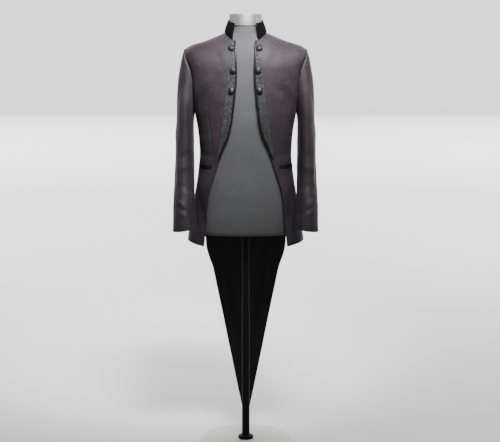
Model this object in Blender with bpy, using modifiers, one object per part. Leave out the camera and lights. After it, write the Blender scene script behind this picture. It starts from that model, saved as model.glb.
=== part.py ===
"""Cutaway coat with a stand collar and long tails, worn by a limbless dress form on a stand.

Metres, +Z up. The coat faces -Y and the wearer's left is +X. The origin is on the floor, under
the middle of the base. Every panel of cloth is a grid of points on one garment surface, which
is worked out from the tables of sections below, and Solidify gives it its thickness.
"""

import math
from bisect import bisect_right
from collections import namedtuple

import bmesh
import bpy
from mathutils import Vector

# Thicknesses and clearances
CLOTH = 0.0022
VELVET = 0.0030
SEAM_GAP = 0.0007
BACK_SEAM_GAP = 0.0016
LAY_GAP = 0.0013

# Heights of the coat's landmarks
HEM_FRONT_Z = 0.799
HEM_SIDE_Z = 0.812
HEM_BACK_Z = 0.802
TAIL_TIP_Z = 0.062
ARMHOLE_TOP_Z = 1.5415
ARMHOLE_BOTTOM_Z = 1.300
CHEST_Z = 1.33
AXIS_Z = 1.25

# Widths of the coat's landmarks
NECK_HALF_WIDTH = 0.080
NECK_FRONT = 0.097
NECK_BACK = 0.078
TAIL_TOP_X = 0.157
TAIL_TIP_X = 0.007
VENT_GAP = 0.0010
ARMHOLE_MIDDLE_Y = 0.004
ARMHOLE_FRONT = 0.064
ARMHOLE_BACK = 0.074

# How the garment surface is shaped
SECTION_POWER = 2.4
ROOF_CURVE_FRONT = 6.0
ROOF_CURVE_BACK = 4.5
SHOULDER_BLEND = 0.050
POLAR_SCALE = 0.25
RAY_REACH = 0.6
RAY_HALVINGS = 34
NORMAL_STEP = 0.0015

# How the rows of the front edge and of the tail are spaced and drawn
EDGE_ROW_POWER = 1.35
ARMHOLE_UNDER_FROM = 140.0
ARMHOLE_UNDER_TO = 220.0
TAIL_RIPPLE = 0.006
TAIL_RIPPLE_TURNS = 1.1
TAIL_HANG_BACK = 0.012
TAIL_BLEND_FROM = 0.82

# Grid divisions
SEAM_ROWS = 14
ARMHOLE_ROWS = 12
NECK_ROWS = 4
TAIL_ROWS = 10
FRONT_COLUMNS = 10
SIDE_COLUMNS = 5
BACK_COLUMNS = 8
SLEEVE_ROWS = 16
SLEEVE_TOP_COLUMNS = 12
SLEEVE_UNDER_COLUMNS = 7

Section = namedtuple("Section", "z half_width front back centre")
BODY = (
    Section(0.740, 0.2225, 0.126, 0.150, 0.014),
    Section(0.800, 0.2205, 0.126, 0.150, 0.013),
    Section(0.860, 0.2125, 0.126, 0.150, 0.012),
    Section(0.930, 0.2015, 0.124, 0.147, 0.010),
    Section(1.010, 0.1905, 0.121, 0.141, 0.006),
    Section(1.090, 0.1790, 0.116, 0.126, 0.003),
    Section(1.140, 0.1745, 0.115, 0.119, 0.000),
    Section(1.200, 0.1772, 0.120, 0.120, -0.002),
    Section(1.255, 0.1835, 0.126, 0.125, -0.003),
    Section(1.310, 0.1935, 0.130, 0.131, -0.002),
    Section(1.380, 0.2085, 0.130, 0.136, 0.000),
    Section(1.460, 0.2200, 0.126, 0.136, 0.003),
    Section(1.540, 0.2440, 0.118, 0.134, 0.006),
    Section(1.640, 0.2600, 0.110, 0.130, 0.008),
)

Ridge = namedtuple("Ridge", "x z")
SHOULDER_RIDGE = (
    Ridge(0.000, 1.6220),
    Ridge(0.050, 1.6100),
    Ridge(0.080, 1.5990),
    Ridge(0.120, 1.5820),
    Ridge(0.160, 1.5670),
    Ridge(0.200, 1.5590),
    Ridge(0.222, 1.5550),
    Ridge(0.260, 1.5480),
    Ridge(0.320, 1.5350),
)

EdgePoint = namedtuple("EdgePoint", "z x")
FRONT_EDGE = (
    EdgePoint(0.799, 0.1585),
    EdgePoint(0.862, 0.1510),
    EdgePoint(0.984, 0.1410),
    EdgePoint(1.028, 0.1320),
    EdgePoint(1.088, 0.1120),
    EdgePoint(1.145, 0.0925),
    EdgePoint(1.189, 0.0740),
    EdgePoint(1.214, 0.0625),
    EdgePoint(1.274, 0.0480),
    EdgePoint(1.313, 0.0430),
    EdgePoint(1.360, 0.0375),
    EdgePoint(1.429, 0.0310),
    EdgePoint(1.488, 0.0312),
    EdgePoint(1.572, 0.0350),
)
FACING_EDGE = (
    EdgePoint(1.127, 0.1105),
    EdgePoint(1.155, 0.1040),
    EdgePoint(1.185, 0.0985),
    EdgePoint(1.225, 0.0925),
    EdgePoint(1.265, 0.0865),
    EdgePoint(1.308, 0.0800),
    EdgePoint(1.345, 0.0751),
    EdgePoint(1.385, 0.0707),
    EdgePoint(1.429, 0.0650),
    EdgePoint(1.488, 0.0595),
    EdgePoint(1.572, 0.0625),
)

SeamPoint = namedtuple("SeamPoint", "z degrees")
FRONT_SEAM = (SeamPoint(0.80, 84.0), SeamPoint(1.14, 88.0), SeamPoint(1.33, 80.0))
BACK_SEAM = (
    SeamPoint(0.80, 129.0),
    SeamPoint(0.95, 129.5),
    SeamPoint(1.14, 131.0),
    SeamPoint(1.25, 122.0),
    SeamPoint(1.33, 106.0),
)

ArmSection = namedtuple("ArmSection", "z inner_x outer_x centre_y half_depth")
ARM = (
    ArmSection(1.262, 0.1965, 0.2615, 0.006, 0.083),
    ArmSection(1.197, 0.1960, 0.2655, 0.006, 0.081),
    ArmSection(1.120, 0.1960, 0.2685, 0.000, 0.077),
    ArmSection(1.043, 0.1945, 0.2710, -0.018, 0.070),
    ArmSection(0.966, 0.1915, 0.2735, -0.060, 0.060),
    ArmSection(0.905, 0.1855, 0.2735, -0.090, 0.053),
    ArmSection(0.862, 0.1825, 0.2735, -0.106, 0.049),
)
SLEEVE_FRONT_SEAM_ANGLE = 130.0
SLEEVE_BACK_SEAM_ANGLE = 230.0
SLEEVE_SEAM_GAP = 0.0020
SLEEVE_HEAD_GAP = 0.0013
CUFF_RISE_INSIDE = 0.014
CUFF_RISE_FROM = 0.80
SLEEVE_TOP_SHARE = 0.34
SLEEVE_HEAD_SWELL = 0.65
SLEEVE_HEAD_RISE = 0.004
SLEEVE_HEAD_RUN = 0.22

Flute = namedtuple("Flute", "degrees width depth")
SKIRT_FLUTES = (
    Flute(88.0, 13.0, 0.0050),
    Flute(112.0, 11.0, -0.0045),
    Flute(150.0, 12.0, 0.0050),
)
FLUTE_TOP_Z = 1.04

# The stand collar
COLLAR_END_DEGREES = 38.0
COLLAR_ROWS = 3
COLLAR_COLUMNS = 26
COLLAR_TOP_HALF_WIDTH = 0.0655
COLLAR_TOP_HALF_DEPTH = 0.072
COLLAR_TOP_CENTRE_Y = -0.006
COLLAR_TOP_SIDE_Z = 1.645
COLLAR_TOP_DROP = 0.012
COLLAR_ROLL = 0.02
COLLAR_LIFT = 0.0020

# What lies on the fronts
STRIP_INSET = 0.0080
STRIP_THICKNESS = 0.0010
STRIP_COLUMNS = 3
LAID_END = 0.006
LAID_NECK_GAP = 0.003
BINDING_INSET = 0.0006
BINDING_WIDTH = 0.0066
BINDING_THICKNESS = 0.0012
POCKET_FRONT_DEGREES = 54.8
POCKET_SIDE_DEGREES = 85.5
POCKET_COLUMNS = 9
POCKET_Z = 1.103
POCKET_HEIGHT = 0.014
BUTTON_LIFT = 0.0030
BUTTON_STEPS = 16
ButtonPlace = namedtuple("ButtonPlace", "z x")
BUTTONS = (ButtonPlace(1.543, 0.0505), ButtonPlace(1.462, 0.0468), ButtonPlace(1.388, 0.0522))
ButtonRing = namedtuple("ButtonRing", "radius height")
BUTTON_PROFILE = (
    ButtonRing(0.0000, 0.0000),
    ButtonRing(0.0085, 0.0000),
    ButtonRing(0.0115, 0.0018),
    ButtonRing(0.0113, 0.0036),
    ButtonRing(0.0085, 0.0058),
    ButtonRing(0.0045, 0.0069),
    ButtonRing(0.0000, 0.0072),
)

# The dress form and its stand
FORM_STEPS = 56
FORM_RISE_Z = 1.25
FORM_SHOULDER_GAP = 0.0020
FORM_SHOULDER_X = 0.192
FORM_SHOULDER_CUT = 0.60
FORM_NECK_Y = -0.004
FORM_BOTTOM_SCALE = 0.90
FORM_BOTTOM_DROP = 0.012
TURNED_STEPS = {"neck_cap": 32, "stand_pole": 24, "stand_base": 48}
WELD = 1e-5
FORM_SHOULDER_FROM = (0.10, 1.50)
FORM_SHOULDER_TO = (0.17, 1.53)
Ring = namedtuple("Ring", "height clearance")
FORM_RINGS = (
    Ring(0.850, 0.022),
    Ring(0.900, 0.018),
    Ring(0.960, 0.016),
    Ring(1.030, 0.014),
    Ring(1.090, 0.011),
    Ring(1.140, 0.009),
    Ring(1.195, 0.009),
    Ring(1.250, 0.010),
)
Rise = namedtuple("Rise", "degrees clearance")
FORM_RISES = (
    Rise(13.0, 0.010),
    Rise(26.0, 0.010),
    Rise(37.0, 0.009),
    Rise(44.0, 0.008),
    Rise(50.0, 0.007),
    Rise(55.0, 0.006),
    Rise(59.0, 0.006),
    Rise(63.0, 0.006),
    Rise(67.0, 0.006),
    Rise(71.0, 0.006),
    Rise(75.0, 0.007),
)
Turned = namedtuple("Turned", "radius z")
FORM_NECK = (Turned(0.0590, 1.604), Turned(0.0575, 1.625))
NECK_CAP = (
    Turned(0.0000, 1.6258),
    Turned(0.0590, 1.6258),
    Turned(0.0605, 1.6290),
    Turned(0.0605, 1.6650),
    Turned(0.0590, 1.6685),
    Turned(0.0000, 1.6700),
)
POLE = (
    Turned(0.0000, 0.0170),
    Turned(0.0300, 0.0170),
    Turned(0.0300, 0.0250),
    Turned(0.0150, 0.0330),
    Turned(0.0150, 0.8376),
    Turned(0.0000, 0.8376),
)
BASE = (
    Turned(0.0000, 0.0000),
    Turned(0.1780, 0.0000),
    Turned(0.1800, 0.0020),
    Turned(0.1800, 0.0090),
    Turned(0.1700, 0.0130),
    Turned(0.0000, 0.0165),
)

Colour = namedtuple("Colour", "name rgb roughness metallic")
SATIN = Colour("anthracite_satin", (0.105, 0.098, 0.108), 0.42, 0.0)
BROCADE = Colour("grey_brocade", (0.110, 0.110, 0.115), 0.55, 0.0)
VELVET_BLACK = Colour("black_velvet", (0.006, 0.006, 0.007), 0.9, 0.0)
BUTTON_BLACK = Colour("black_button", (0.008, 0.008, 0.009), 0.3, 0.0)
JERSEY = Colour("form_jersey", (0.60, 0.585, 0.56), 0.8, 0.0)
SILVER = Colour("neck_silver", (0.52, 0.51, 0.49), 0.38, 0.6)
POLE_BLACK = Colour("stand_black", (0.010, 0.010, 0.011), 0.35, 0.0)


def table_value(table, key, column):
    """A smooth value of one column at a key between the rows of a table sorted by its first column."""
    keys = [row[0] for row in table]
    values = [getattr(row, column) for row in table]
    if key <= keys[0]:
        return values[0]
    if key >= keys[-1]:
        return values[-1]
    i = bisect_right(keys, key) - 1

    def slope(k):
        low, high = max(k - 1, 0), min(k + 1, len(keys) - 1)
        return (values[high] - values[low]) / (keys[high] - keys[low])

    step = keys[i + 1] - keys[i]
    s = (key - keys[i]) / step
    return (
        values[i] * (1 + 2 * s) * (1 - s) ** 2
        + slope(i) * step * s * (1 - s) ** 2
        + values[i + 1] * s * s * (3 - 2 * s)
        + slope(i + 1) * step * s * s * (s - 1)
    )


def smooth_step(low, high, value):
    """0 below low, 1 above high, and a soft S between."""
    s = min(1.0, max(0.0, (value - low) / (high - low)))
    return s * s * (3 - 2 * s)


def outside(point):
    """How far a point lies outside the garment surface, roughly in metres; negative is inside."""
    x, y, z = abs(point[0]), point[1], point[2]
    half_width = table_value(BODY, z, "half_width")
    y -= table_value(BODY, z, "centre")
    depth = table_value(BODY, z, "front" if y < 0 else "back")
    round_part = (x / half_width) ** SECTION_POWER + (abs(y) / depth) ** SECTION_POWER
    column = (round_part ** (1 / SECTION_POWER) - 1) * min(half_width, depth)
    curve = ROOF_CURVE_FRONT if point[1] < 0 else ROOF_CURVE_BACK
    roof = z - table_value(SHOULDER_RIDGE, x, "z") + curve * point[1] ** 2
    overlap = max(SHOULDER_BLEND - abs(column - roof), 0.0) / SHOULDER_BLEND
    return max(column, roof) + overlap * overlap * SHOULDER_BLEND / 4


def surface_along(start, direction, reach=RAY_REACH):
    """The point where a ray from inside the garment leaves its surface."""
    near, far = 0.0, reach
    for _ in range(RAY_HALVINGS):
        middle = (near + far) / 2
        if outside(start + direction * middle) < 0:
            near = middle
        else:
            far = middle
    return start + direction * ((near + far) / 2)


def on_front(x, z):
    """The point of the garment's front at a width and a height."""
    return surface_along(Vector((x, 0, z)), Vector((0, -1, 0)))


def on_side(y, z):
    """The point of the garment's side at a depth and a height."""
    return surface_along(Vector((0, y, z)), Vector((1, 0, 0)))


def on_top(x, y):
    """The point of the garment's top, near the shoulders, over a place on the floor."""
    return surface_along(Vector((x, y, AXIS_Z)), Vector((0, 0, 1)))


def polar_of(point):
    """(azimuth, height) of a point of the surface: azimuth 0 is the front, and above the axis point
    the height turns smoothly into an elevation."""
    azimuth = math.atan2(point.x, -point.y)
    if point.z <= AXIS_Z:
        return Vector((azimuth, point.z))
    rise = math.atan2(point.z - AXIS_Z, math.hypot(point.x, point.y))
    return Vector((azimuth, AXIS_Z + POLAR_SCALE * rise))


def surface_at(azimuth, height):
    """The point of the garment surface at an azimuth and a height from polar_of."""
    rise = max(0.0, (height - AXIS_Z) / POLAR_SCALE)
    direction = Vector((
        math.sin(azimuth) * math.cos(rise),
        -math.cos(azimuth) * math.cos(rise),
        math.sin(rise),
    ))
    return surface_along(Vector((0, 0, min(height, AXIS_Z))), direction)


def outward(point):
    """The unit normal of the garment surface at a point."""
    step = NORMAL_STEP
    slopes = []
    for axis in range(3):
        shift = Vector((0, 0, 0))
        shift[axis] = step
        slopes.append(outside(point + shift) - outside(point - shift))
    return Vector(slopes).normalized()


def flute_depth(azimuth, z):
    """How far the skirt stands out or in at a place: soft flutes that grow towards the hem."""
    strength = 1 - smooth_step(HEM_BACK_Z, FLUTE_TOP_Z, z)
    degrees = math.degrees(azimuth)
    return strength * sum(
        f.depth * math.exp(-(((degrees - f.degrees) / f.width) ** 2)) for f in SKIRT_FLUTES
    )


def cloth_at(azimuth, height):
    """A point of the draped cloth: the garment surface with the skirt's flutes."""
    point = surface_at(azimuth, height)
    depth = flute_depth(azimuth, point.z)
    return point + outward(point) * depth if depth else point


def armhole_point(degrees):
    """A point of the left armhole: 0 is the shoulder, 90 the front, 180 the armpit."""
    a = math.radians(degrees)
    middle_z = (ARMHOLE_TOP_Z + ARMHOLE_BOTTOM_Z) / 2
    half_height = (ARMHOLE_TOP_Z - ARMHOLE_BOTTOM_Z) / 2
    reach = ARMHOLE_FRONT if math.sin(a) > 0 else ARMHOLE_BACK
    return on_side(ARMHOLE_MIDDLE_Y - reach * math.sin(a), middle_z + half_height * math.cos(a))


def neckline_point(degrees):
    """A point of the neckline: 0 is the front, 90 the neck's side, 180 the nape."""
    a = math.radians(degrees)
    reach = NECK_FRONT if math.cos(a) > 0 else NECK_BACK
    return on_top(NECK_HALF_WIDTH * math.sin(a), -reach * math.cos(a))


def spread(low, high, count):
    """count + 1 evenly spaced values."""
    return [low + (high - low) * i / count for i in range(count + 1)]


ARMHOLE_FRONT_ANGLES = spread(ARMHOLE_UNDER_FROM, 0.0, ARMHOLE_ROWS)
ARMHOLE_UNDER_ANGLES = spread(ARMHOLE_UNDER_FROM, ARMHOLE_UNDER_TO, SIDE_COLUMNS)
ARMHOLE_BACK_ANGLES = spread(ARMHOLE_UNDER_TO, 360.0, ARMHOLE_ROWS)
SHOULDER_POINT = armhole_point(0.0)


def seam_line(seam, bottom_z, top):
    """Points up a side seam, from the hem to the armhole point where it ends."""
    top_polar = polar_of(top)
    points = []
    for z in spread(bottom_z, AXIS_Z, SEAM_ROWS - 2):
        points.append(Vector((math.radians(table_value(seam, z, "degrees")), z)))
    last = points[-1]
    for share in (0.5, 1.0):
        points.append(last.lerp(top_polar, share))
    return points


def shoulder_line(columns):
    """Points along the shoulder seam, from the neck to the sleeve."""
    points = []
    for share in spread(0.0, 1.0, columns):
        x = NECK_HALF_WIDTH + (SHOULDER_POINT.x - NECK_HALF_WIDTH) * share
        points.append(polar_of(on_top(x, ARMHOLE_MIDDLE_Y * share)))
    points[-1] = polar_of(SHOULDER_POINT)
    return points


def coons(left, right, bottom, top):
    """Rows of points between four boundary curves, as a draper would spread the cloth between them."""
    rows, columns = len(left) - 1, len(bottom) - 1
    grid = []
    for j in range(rows + 1):
        v = j / rows
        row = []
        for i in range(columns + 1):
            u = i / columns
            across = left[j].lerp(right[j], u)
            along = bottom[i].lerp(top[i], v)
            corners = left[0].lerp(right[0], u).lerp(left[-1].lerp(right[-1], u), v)
            row.append(across + along - corners)
        grid.append(row)
    return grid


def drape(polar_grid):
    """The cloth points of a grid of azimuths and heights."""
    return [[cloth_at(p.x, p.y) for p in row] for row in polar_grid]


def edge_heights():
    """The heights of the front panel's rows at its front edge, closer together near the neck."""
    heights = spread(HEM_FRONT_Z, CHEST_Z, SEAM_ROWS)
    for share in spread(0.0, 1.0, ARMHOLE_ROWS - NECK_ROWS)[1:]:
        heights.append(CHEST_Z + (FRONT_EDGE[-1].z - CHEST_Z) * (1 - (1 - share) ** EDGE_ROW_POWER))
    return heights


def front_grid():
    """The left front, from the cutaway edge to the side seam and armhole, and up to the shoulder."""
    heights = edge_heights()
    left = [polar_of(on_front(table_value(FRONT_EDGE, z, "x"), z)) for z in heights]
    first = math.degrees(math.asin(FRONT_EDGE[-1].x / NECK_HALF_WIDTH))
    left += [polar_of(neckline_point(d)) for d in spread(first, 90.0, NECK_ROWS)[1:]]
    right = seam_line(FRONT_SEAM, HEM_SIDE_Z, armhole_point(ARMHOLE_FRONT_ANGLES[0]))
    right += [polar_of(armhole_point(d)) for d in ARMHOLE_FRONT_ANGLES[1:]]
    bottom = [left[0].lerp(right[0], share) for share in spread(0.0, 1.0, FRONT_COLUMNS)]
    return drape(coons(left, right, bottom, shoulder_line(FRONT_COLUMNS)))


def side_grid():
    """The left side panel, between the two side seams and under the armhole."""
    left = seam_line(FRONT_SEAM, HEM_SIDE_Z, armhole_point(ARMHOLE_UNDER_ANGLES[0]))
    right = seam_line(BACK_SEAM, HEM_BACK_Z, armhole_point(ARMHOLE_UNDER_ANGLES[-1]))
    bottom = [left[0].lerp(right[0], share) for share in spread(0.0, 1.0, SIDE_COLUMNS)]
    top = [polar_of(armhole_point(d)) for d in ARMHOLE_UNDER_ANGLES]
    return drape(coons(left, right, bottom, top))


def tail_point(share, z):
    """A point of the tail below the hem: share 0 is its outer edge and 1 the centre vent."""
    fall = (HEM_BACK_Z - z) / (HEM_BACK_Z - TAIL_TIP_Z)
    outer = TAIL_TOP_X + (TAIL_TIP_X - TAIL_TOP_X) * fall
    x = outer * (1 - share)
    hem = BODY[1]
    bulge = (1 - (x / hem.half_width) ** SECTION_POWER) ** (1 / SECTION_POWER)
    y = hem.centre + hem.back * bulge
    azimuth = math.atan2(x, -y)
    wave = math.cos(math.tau * TAIL_RIPPLE_TURNS * (1 - share))
    ripple = TAIL_RIPPLE * math.sin(math.pi * fall) * wave + TAIL_HANG_BACK * fall
    return Vector((x + VENT_GAP, y + flute_depth(azimuth, z) - ripple, z))


def back_grid():
    """The left back, cut in one with its tail, from the side seam to the centre back."""
    left = seam_line(BACK_SEAM, HEM_BACK_Z, armhole_point(ARMHOLE_BACK_ANGLES[0]))
    left += [polar_of(armhole_point(d)) for d in ARMHOLE_BACK_ANGLES[1:]]
    centre_rows = SEAM_ROWS + ARMHOLE_ROWS - NECK_ROWS
    nape = polar_of(neckline_point(180.0))
    right = [Vector((math.pi, z)) for z in spread(HEM_BACK_Z, AXIS_Z, SEAM_ROWS - 2)]
    right += [
        Vector((math.pi, z)) for z in spread(AXIS_Z, nape.y, centre_rows - SEAM_ROWS + 2)[1:]
    ]
    right += [polar_of(neckline_point(d)) for d in spread(180.0, 90.0, NECK_ROWS)[1:]]
    bottom = [left[0].lerp(right[0], share) for share in spread(0.0, 1.0, BACK_COLUMNS)]
    top = list(reversed(shoulder_line(BACK_COLUMNS)))
    body = drape(coons(left, right, bottom, top))
    tail = []
    for row in range(TAIL_ROWS):
        share = row / TAIL_ROWS
        z = TAIL_TIP_Z + (HEM_BACK_Z - TAIL_TIP_Z) * share
        hang = [tail_point(i / BACK_COLUMNS, z) for i in range(BACK_COLUMNS + 1)]
        blend = smooth_step(TAIL_BLEND_FROM, 1.0, share)
        tail.append([p.lerp(Vector((q.x, q.y, p.z)), blend) for p, q in zip(hang, body[0])])
    return tail + body


def arm_value(z, column):
    """A sleeve size at a height, from the table, which runs from the top down."""
    return table_value(tuple(reversed(ARM)), z, column)


def sleeve_point(degrees, share):
    """A point of the left sleeve: degrees go round as at the armhole, share 0 is the armhole, 1 the cuff."""
    a = math.radians(degrees)
    if share > SLEEVE_TOP_SHARE:
        z = ARM[0].z + (ARM[-1].z - ARM[0].z) * (share - SLEEVE_TOP_SHARE) / (1 - SLEEVE_TOP_SHARE)
    else:
        z = ARM[0].z
    inner, outer = arm_value(z, "inner_x"), arm_value(z, "outer_x")
    lift = CUFF_RISE_INSIDE * smooth_step(CUFF_RISE_FROM, 1.0, share) * (1 - math.cos(a)) / 2
    ring = Vector((
        (inner + outer) / 2 + (outer - inner) / 2 * math.cos(a),
        arm_value(z, "centre_y") - arm_value(z, "half_depth") * math.sin(a),
        z + lift,
    ))
    if share >= SLEEVE_TOP_SHARE:
        return ring
    start = armhole_point(degrees)
    start.x += SLEEVE_HEAD_GAP
    s = share / SLEEVE_TOP_SHARE
    across = 1 - (1 - s**SLEEVE_HEAD_SWELL) ** 2
    point = start.lerp(ring, across)
    head = math.sin(math.pi * min(1.0, s / SLEEVE_HEAD_RUN))
    point.z = start.z + (ring.z - start.z) * s + SLEEVE_HEAD_RISE * max(0.0, math.cos(a)) * head
    return point


def sleeve_grid(angles):
    """One piece of the left sleeve, between two of its long seams."""
    return [[sleeve_point(d, share) for d in angles] for share in spread(0.0, 1.0, SLEEVE_ROWS)]


def laid_on_front(x_of, z_values, columns, lift):
    """Points moved out from the left front: x_of(share, z) gives each row's places across it."""
    grid = []
    for z in z_values:
        row = []
        for share in spread(0.0, 1.0, columns):
            point = on_front(x_of(share, z), z)
            row.append(point + outward(point) * lift)
        grid.append(row)
    return grid


def new_object(name, mesh, colour):
    """An object of that mesh, in the coat's collection, with its own material."""
    item = bpy.data.objects.new(name, mesh)
    COAT.objects.link(item)
    material = bpy.data.materials.new(f"{name}_{colour.name}")
    material.use_nodes = True
    shader = material.node_tree.nodes["Principled BSDF"]
    shader.inputs["Base Color"].default_value = (*colour.rgb, 1.0)
    shader.inputs["Roughness"].default_value = colour.roughness
    shader.inputs["Metallic"].default_value = colour.metallic
    material.diffuse_color = (*colour.rgb, 1.0)
    mesh.materials.append(material)
    return item


def mirrored(grid):
    """The same grid on the wearer's right."""
    return [[Vector((-p.x, p.y, p.z)) for p in row] for row in grid]


def parted(grid, gap):
    """A grid whose border is drawn in by half the gap on every side, so that neighbours don't touch."""
    rows, columns = len(grid) - 1, len(grid[0]) - 1
    moved = [[p.copy() for p in row] for row in grid]
    for j in range(rows + 1):
        for i, inner in ((0, 1), (columns, columns - 1)):
            moved[j][i] += (grid[j][inner] - grid[j][i]).normalized() * gap / 2
    for i in range(columns + 1):
        for j, inner in ((0, 1), (rows, rows - 1)):
            moved[j][i] += (grid[inner][i] - grid[j][i]).normalized() * gap / 2
    return moved


def cloth_piece(name, grid, colour, thickness=CLOTH, gap=SEAM_GAP, outer_side=1.0):
    """A wall of cloth over a grid of points: outer_side 1 keeps the grid as its outer face."""
    rows, columns = len(grid) - 1, len(grid[0]) - 1
    points = parted(grid, gap)
    bm = bmesh.new()
    bmesh.ops.create_grid(bm, x_segments=columns, y_segments=rows, size=1.0)
    for vertex in bm.verts:
        i = round((vertex.co.x + 1) / 2 * columns)
        j = round((vertex.co.y + 1) / 2 * rows)
        vertex.co = points[j][i]
    middle = points[rows // 2][columns // 2]
    bm.normal_update()
    faces = sorted(bm.faces, key=lambda f: (f.calc_center_median() - middle).length)
    facing = faces[0].normal.dot(wall_side(points))
    if facing * outer_side < 0:
        bmesh.ops.reverse_faces(bm, faces=bm.faces)
    mesh = bpy.data.meshes.new(name)
    bm.to_mesh(mesh)
    bm.free()
    mesh.shade_smooth()
    item = new_object(name, mesh, colour)
    wall = item.modifiers.new("wall", "SOLIDIFY")
    wall.thickness = thickness
    wall.offset = -1.0
    return item


def wall_side(points):
    """The way that a grid's middle faces, away from the axis that it goes round."""
    rows, columns = len(points) - 1, len(points[0]) - 1
    middle = points[rows // 2][columns // 2]
    ends = [points[rows // 2][0], points[rows // 2][-1]]
    away = middle - (ends[0] + ends[1]) / 2
    away.z = 0
    return away


def pair(name, grid, colour, **walls):
    """The piece and its mirror image, named for the wearer's left and right."""
    cloth_piece(f"{name}_left", grid, colour, **walls)
    cloth_piece(f"{name}_right", mirrored(grid), colour, **walls)


def collar_grid():
    """The stand collar, from its left front end round the neck, with the top edge as the last row."""
    rows = []
    for share in spread(0.0, 1.0, COLLAR_ROWS):
        row = []
        for degrees in spread(COLLAR_END_DEGREES, 360.0 - COLLAR_END_DEGREES, COLLAR_COLUMNS):
            seam = neckline_point(degrees)
            seam += outward(seam) * SEAM_GAP + Vector((0, 0, COLLAR_LIFT))
            a = math.radians(degrees)
            top = Vector((
                COLLAR_TOP_HALF_WIDTH * math.sin(a),
                COLLAR_TOP_CENTRE_Y - COLLAR_TOP_HALF_DEPTH * math.cos(a),
                COLLAR_TOP_SIDE_Z - COLLAR_TOP_DROP * math.cos(a),
            ))
            point = seam.lerp(top, share)
            point.xy *= 1 + COLLAR_ROLL * math.sin(math.pi * share)
            row.append(point)
        rows.append(row)
    return rows


def ring_lathe(name, profile, colour, centre=(0.0, 0.0)):
    """A turned solid: the profile of (radius, z) points is spun round the upright axis."""
    bm = bmesh.new()
    line = [bm.verts.new((centre[0] + r, centre[1], z)) for r, z in profile]
    edges = [bm.edges.new((a, b)) for a, b in zip(line, line[1:])]
    bmesh.ops.spin(
        bm, geom=line + edges, cent=(*centre, 0), axis=(0, 0, 1),
        angle=math.tau, steps=TURNED_STEPS[name],
    )
    bmesh.ops.remove_doubles(bm, verts=bm.verts, dist=WELD)
    bmesh.ops.recalc_face_normals(bm, faces=bm.faces)
    mesh = bpy.data.meshes.new(name)
    bm.to_mesh(mesh)
    bm.free()
    mesh.shade_smooth()
    return new_object(name, mesh, colour)


def form_ring(z, clearance, steps):
    """Points round the dress form at a height: the garment surface moved in by the clearance."""
    half_width = table_value(BODY, z, "half_width")
    centre = table_value(BODY, z, "centre")
    ring = []
    for k in range(steps):
        a = math.tau * k / steps
        point = surface_along(Vector((0, centre * 0.5, z)), Vector((math.sin(a), -math.cos(a), 0)))
        ring.append(point - outward(point) * clearance)
    return ring, half_width


def build_form():
    """The limbless dress form: rings from its flat bottom to its chest, then rows over its shoulders."""
    rings = []
    drop = Vector((0, 0, FORM_BOTTOM_DROP))
    for z, clearance in FORM_RINGS:
        ring, _ = form_ring(z, clearance, FORM_STEPS)
        centre = Vector((0, table_value(BODY, z, "centre") * 0.5, z))
        rings.append([Vector((p.x, p.y, z)) for p in ring])
        if z == FORM_RINGS[0][0]:
            rings.insert(0, [centre + (p - centre) * FORM_BOTTOM_SCALE - drop for p in rings[0]])
    for rise, clearance in FORM_RISES:
        ring = []
        for k in range(FORM_STEPS):
            a = math.tau * k / FORM_STEPS
            e = math.radians(rise)
            way = Vector((math.sin(a) * math.cos(e), -math.cos(a) * math.cos(e), math.sin(e)))
            point = surface_along(Vector((0, 0, FORM_RISE_Z)), way)
            shoulder = smooth_step(FORM_SHOULDER_FROM[0], FORM_SHOULDER_TO[0], abs(point.x))
            shoulder *= smooth_step(FORM_SHOULDER_FROM[1], FORM_SHOULDER_TO[1], point.z)
            gap = clearance + (FORM_SHOULDER_GAP - clearance) * shoulder
            point -= outward(point) * (gap + CLOTH)
            past = max(0.0, abs(point.x) - FORM_SHOULDER_X)
            point.x -= math.copysign(past * FORM_SHOULDER_CUT, point.x)
            ring.append(point)
        rings.append(ring)
    neck = Vector((0, FORM_NECK_Y, 0))
    for radius, z in FORM_NECK:
        ring = []
        for k in range(FORM_STEPS):
            a = math.tau * k / FORM_STEPS
            ring.append(neck + Vector((radius * math.sin(a), -radius * math.cos(a), z)))
        rings.append(ring)
    bm = bmesh.new()
    loops = [[bm.verts.new(p) for p in ring] for ring in rings]
    for low, high in zip(loops, loops[1:]):
        for k in range(FORM_STEPS):
            m = (k + 1) % FORM_STEPS
            bm.faces.new((low[k], low[m], high[m], high[k]))
    for loop in (loops[0], loops[-1]):
        bmesh.ops.contextual_create(bm, geom=loop)
    bmesh.ops.recalc_face_normals(bm, faces=bm.faces)
    mesh = bpy.data.meshes.new("form_torso")
    bm.to_mesh(mesh)
    bm.free()
    mesh.shade_smooth()
    new_object("form_torso", mesh, JERSEY)


def build_buttons():
    """Six domed buttons, each with a short shank side against the strip."""
    for row, (z, x) in enumerate(BUTTONS, start=1):
        for side, sign in (("left", 1.0), ("right", -1.0)):
            name = f"button_{side}_{row}"
            face = on_front(x, z)
            normal = outward(face)
            place = face + normal * BUTTON_LIFT
            place.x *= sign
            normal.x *= sign
            bm = bmesh.new()
            line = [bm.verts.new((r, 0, h)) for r, h in BUTTON_PROFILE]
            edges = [bm.edges.new((a, b)) for a, b in zip(line, line[1:])]
            bmesh.ops.spin(
                bm, geom=line + edges, cent=(0, 0, 0), axis=(0, 0, 1),
                angle=math.tau, steps=BUTTON_STEPS,
            )
            bmesh.ops.remove_doubles(bm, verts=bm.verts, dist=WELD)
            bmesh.ops.recalc_face_normals(bm, faces=bm.faces)
            turn = Vector((0, 0, 1)).rotation_difference(normal).to_matrix().to_4x4()
            turn.translation = place
            bmesh.ops.transform(bm, matrix=turn, verts=bm.verts)
            mesh = bpy.data.meshes.new(name)
            bm.to_mesh(mesh)
            bm.free()
            mesh.shade_smooth()
            new_object(name, mesh, BUTTON_BLACK)


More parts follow.
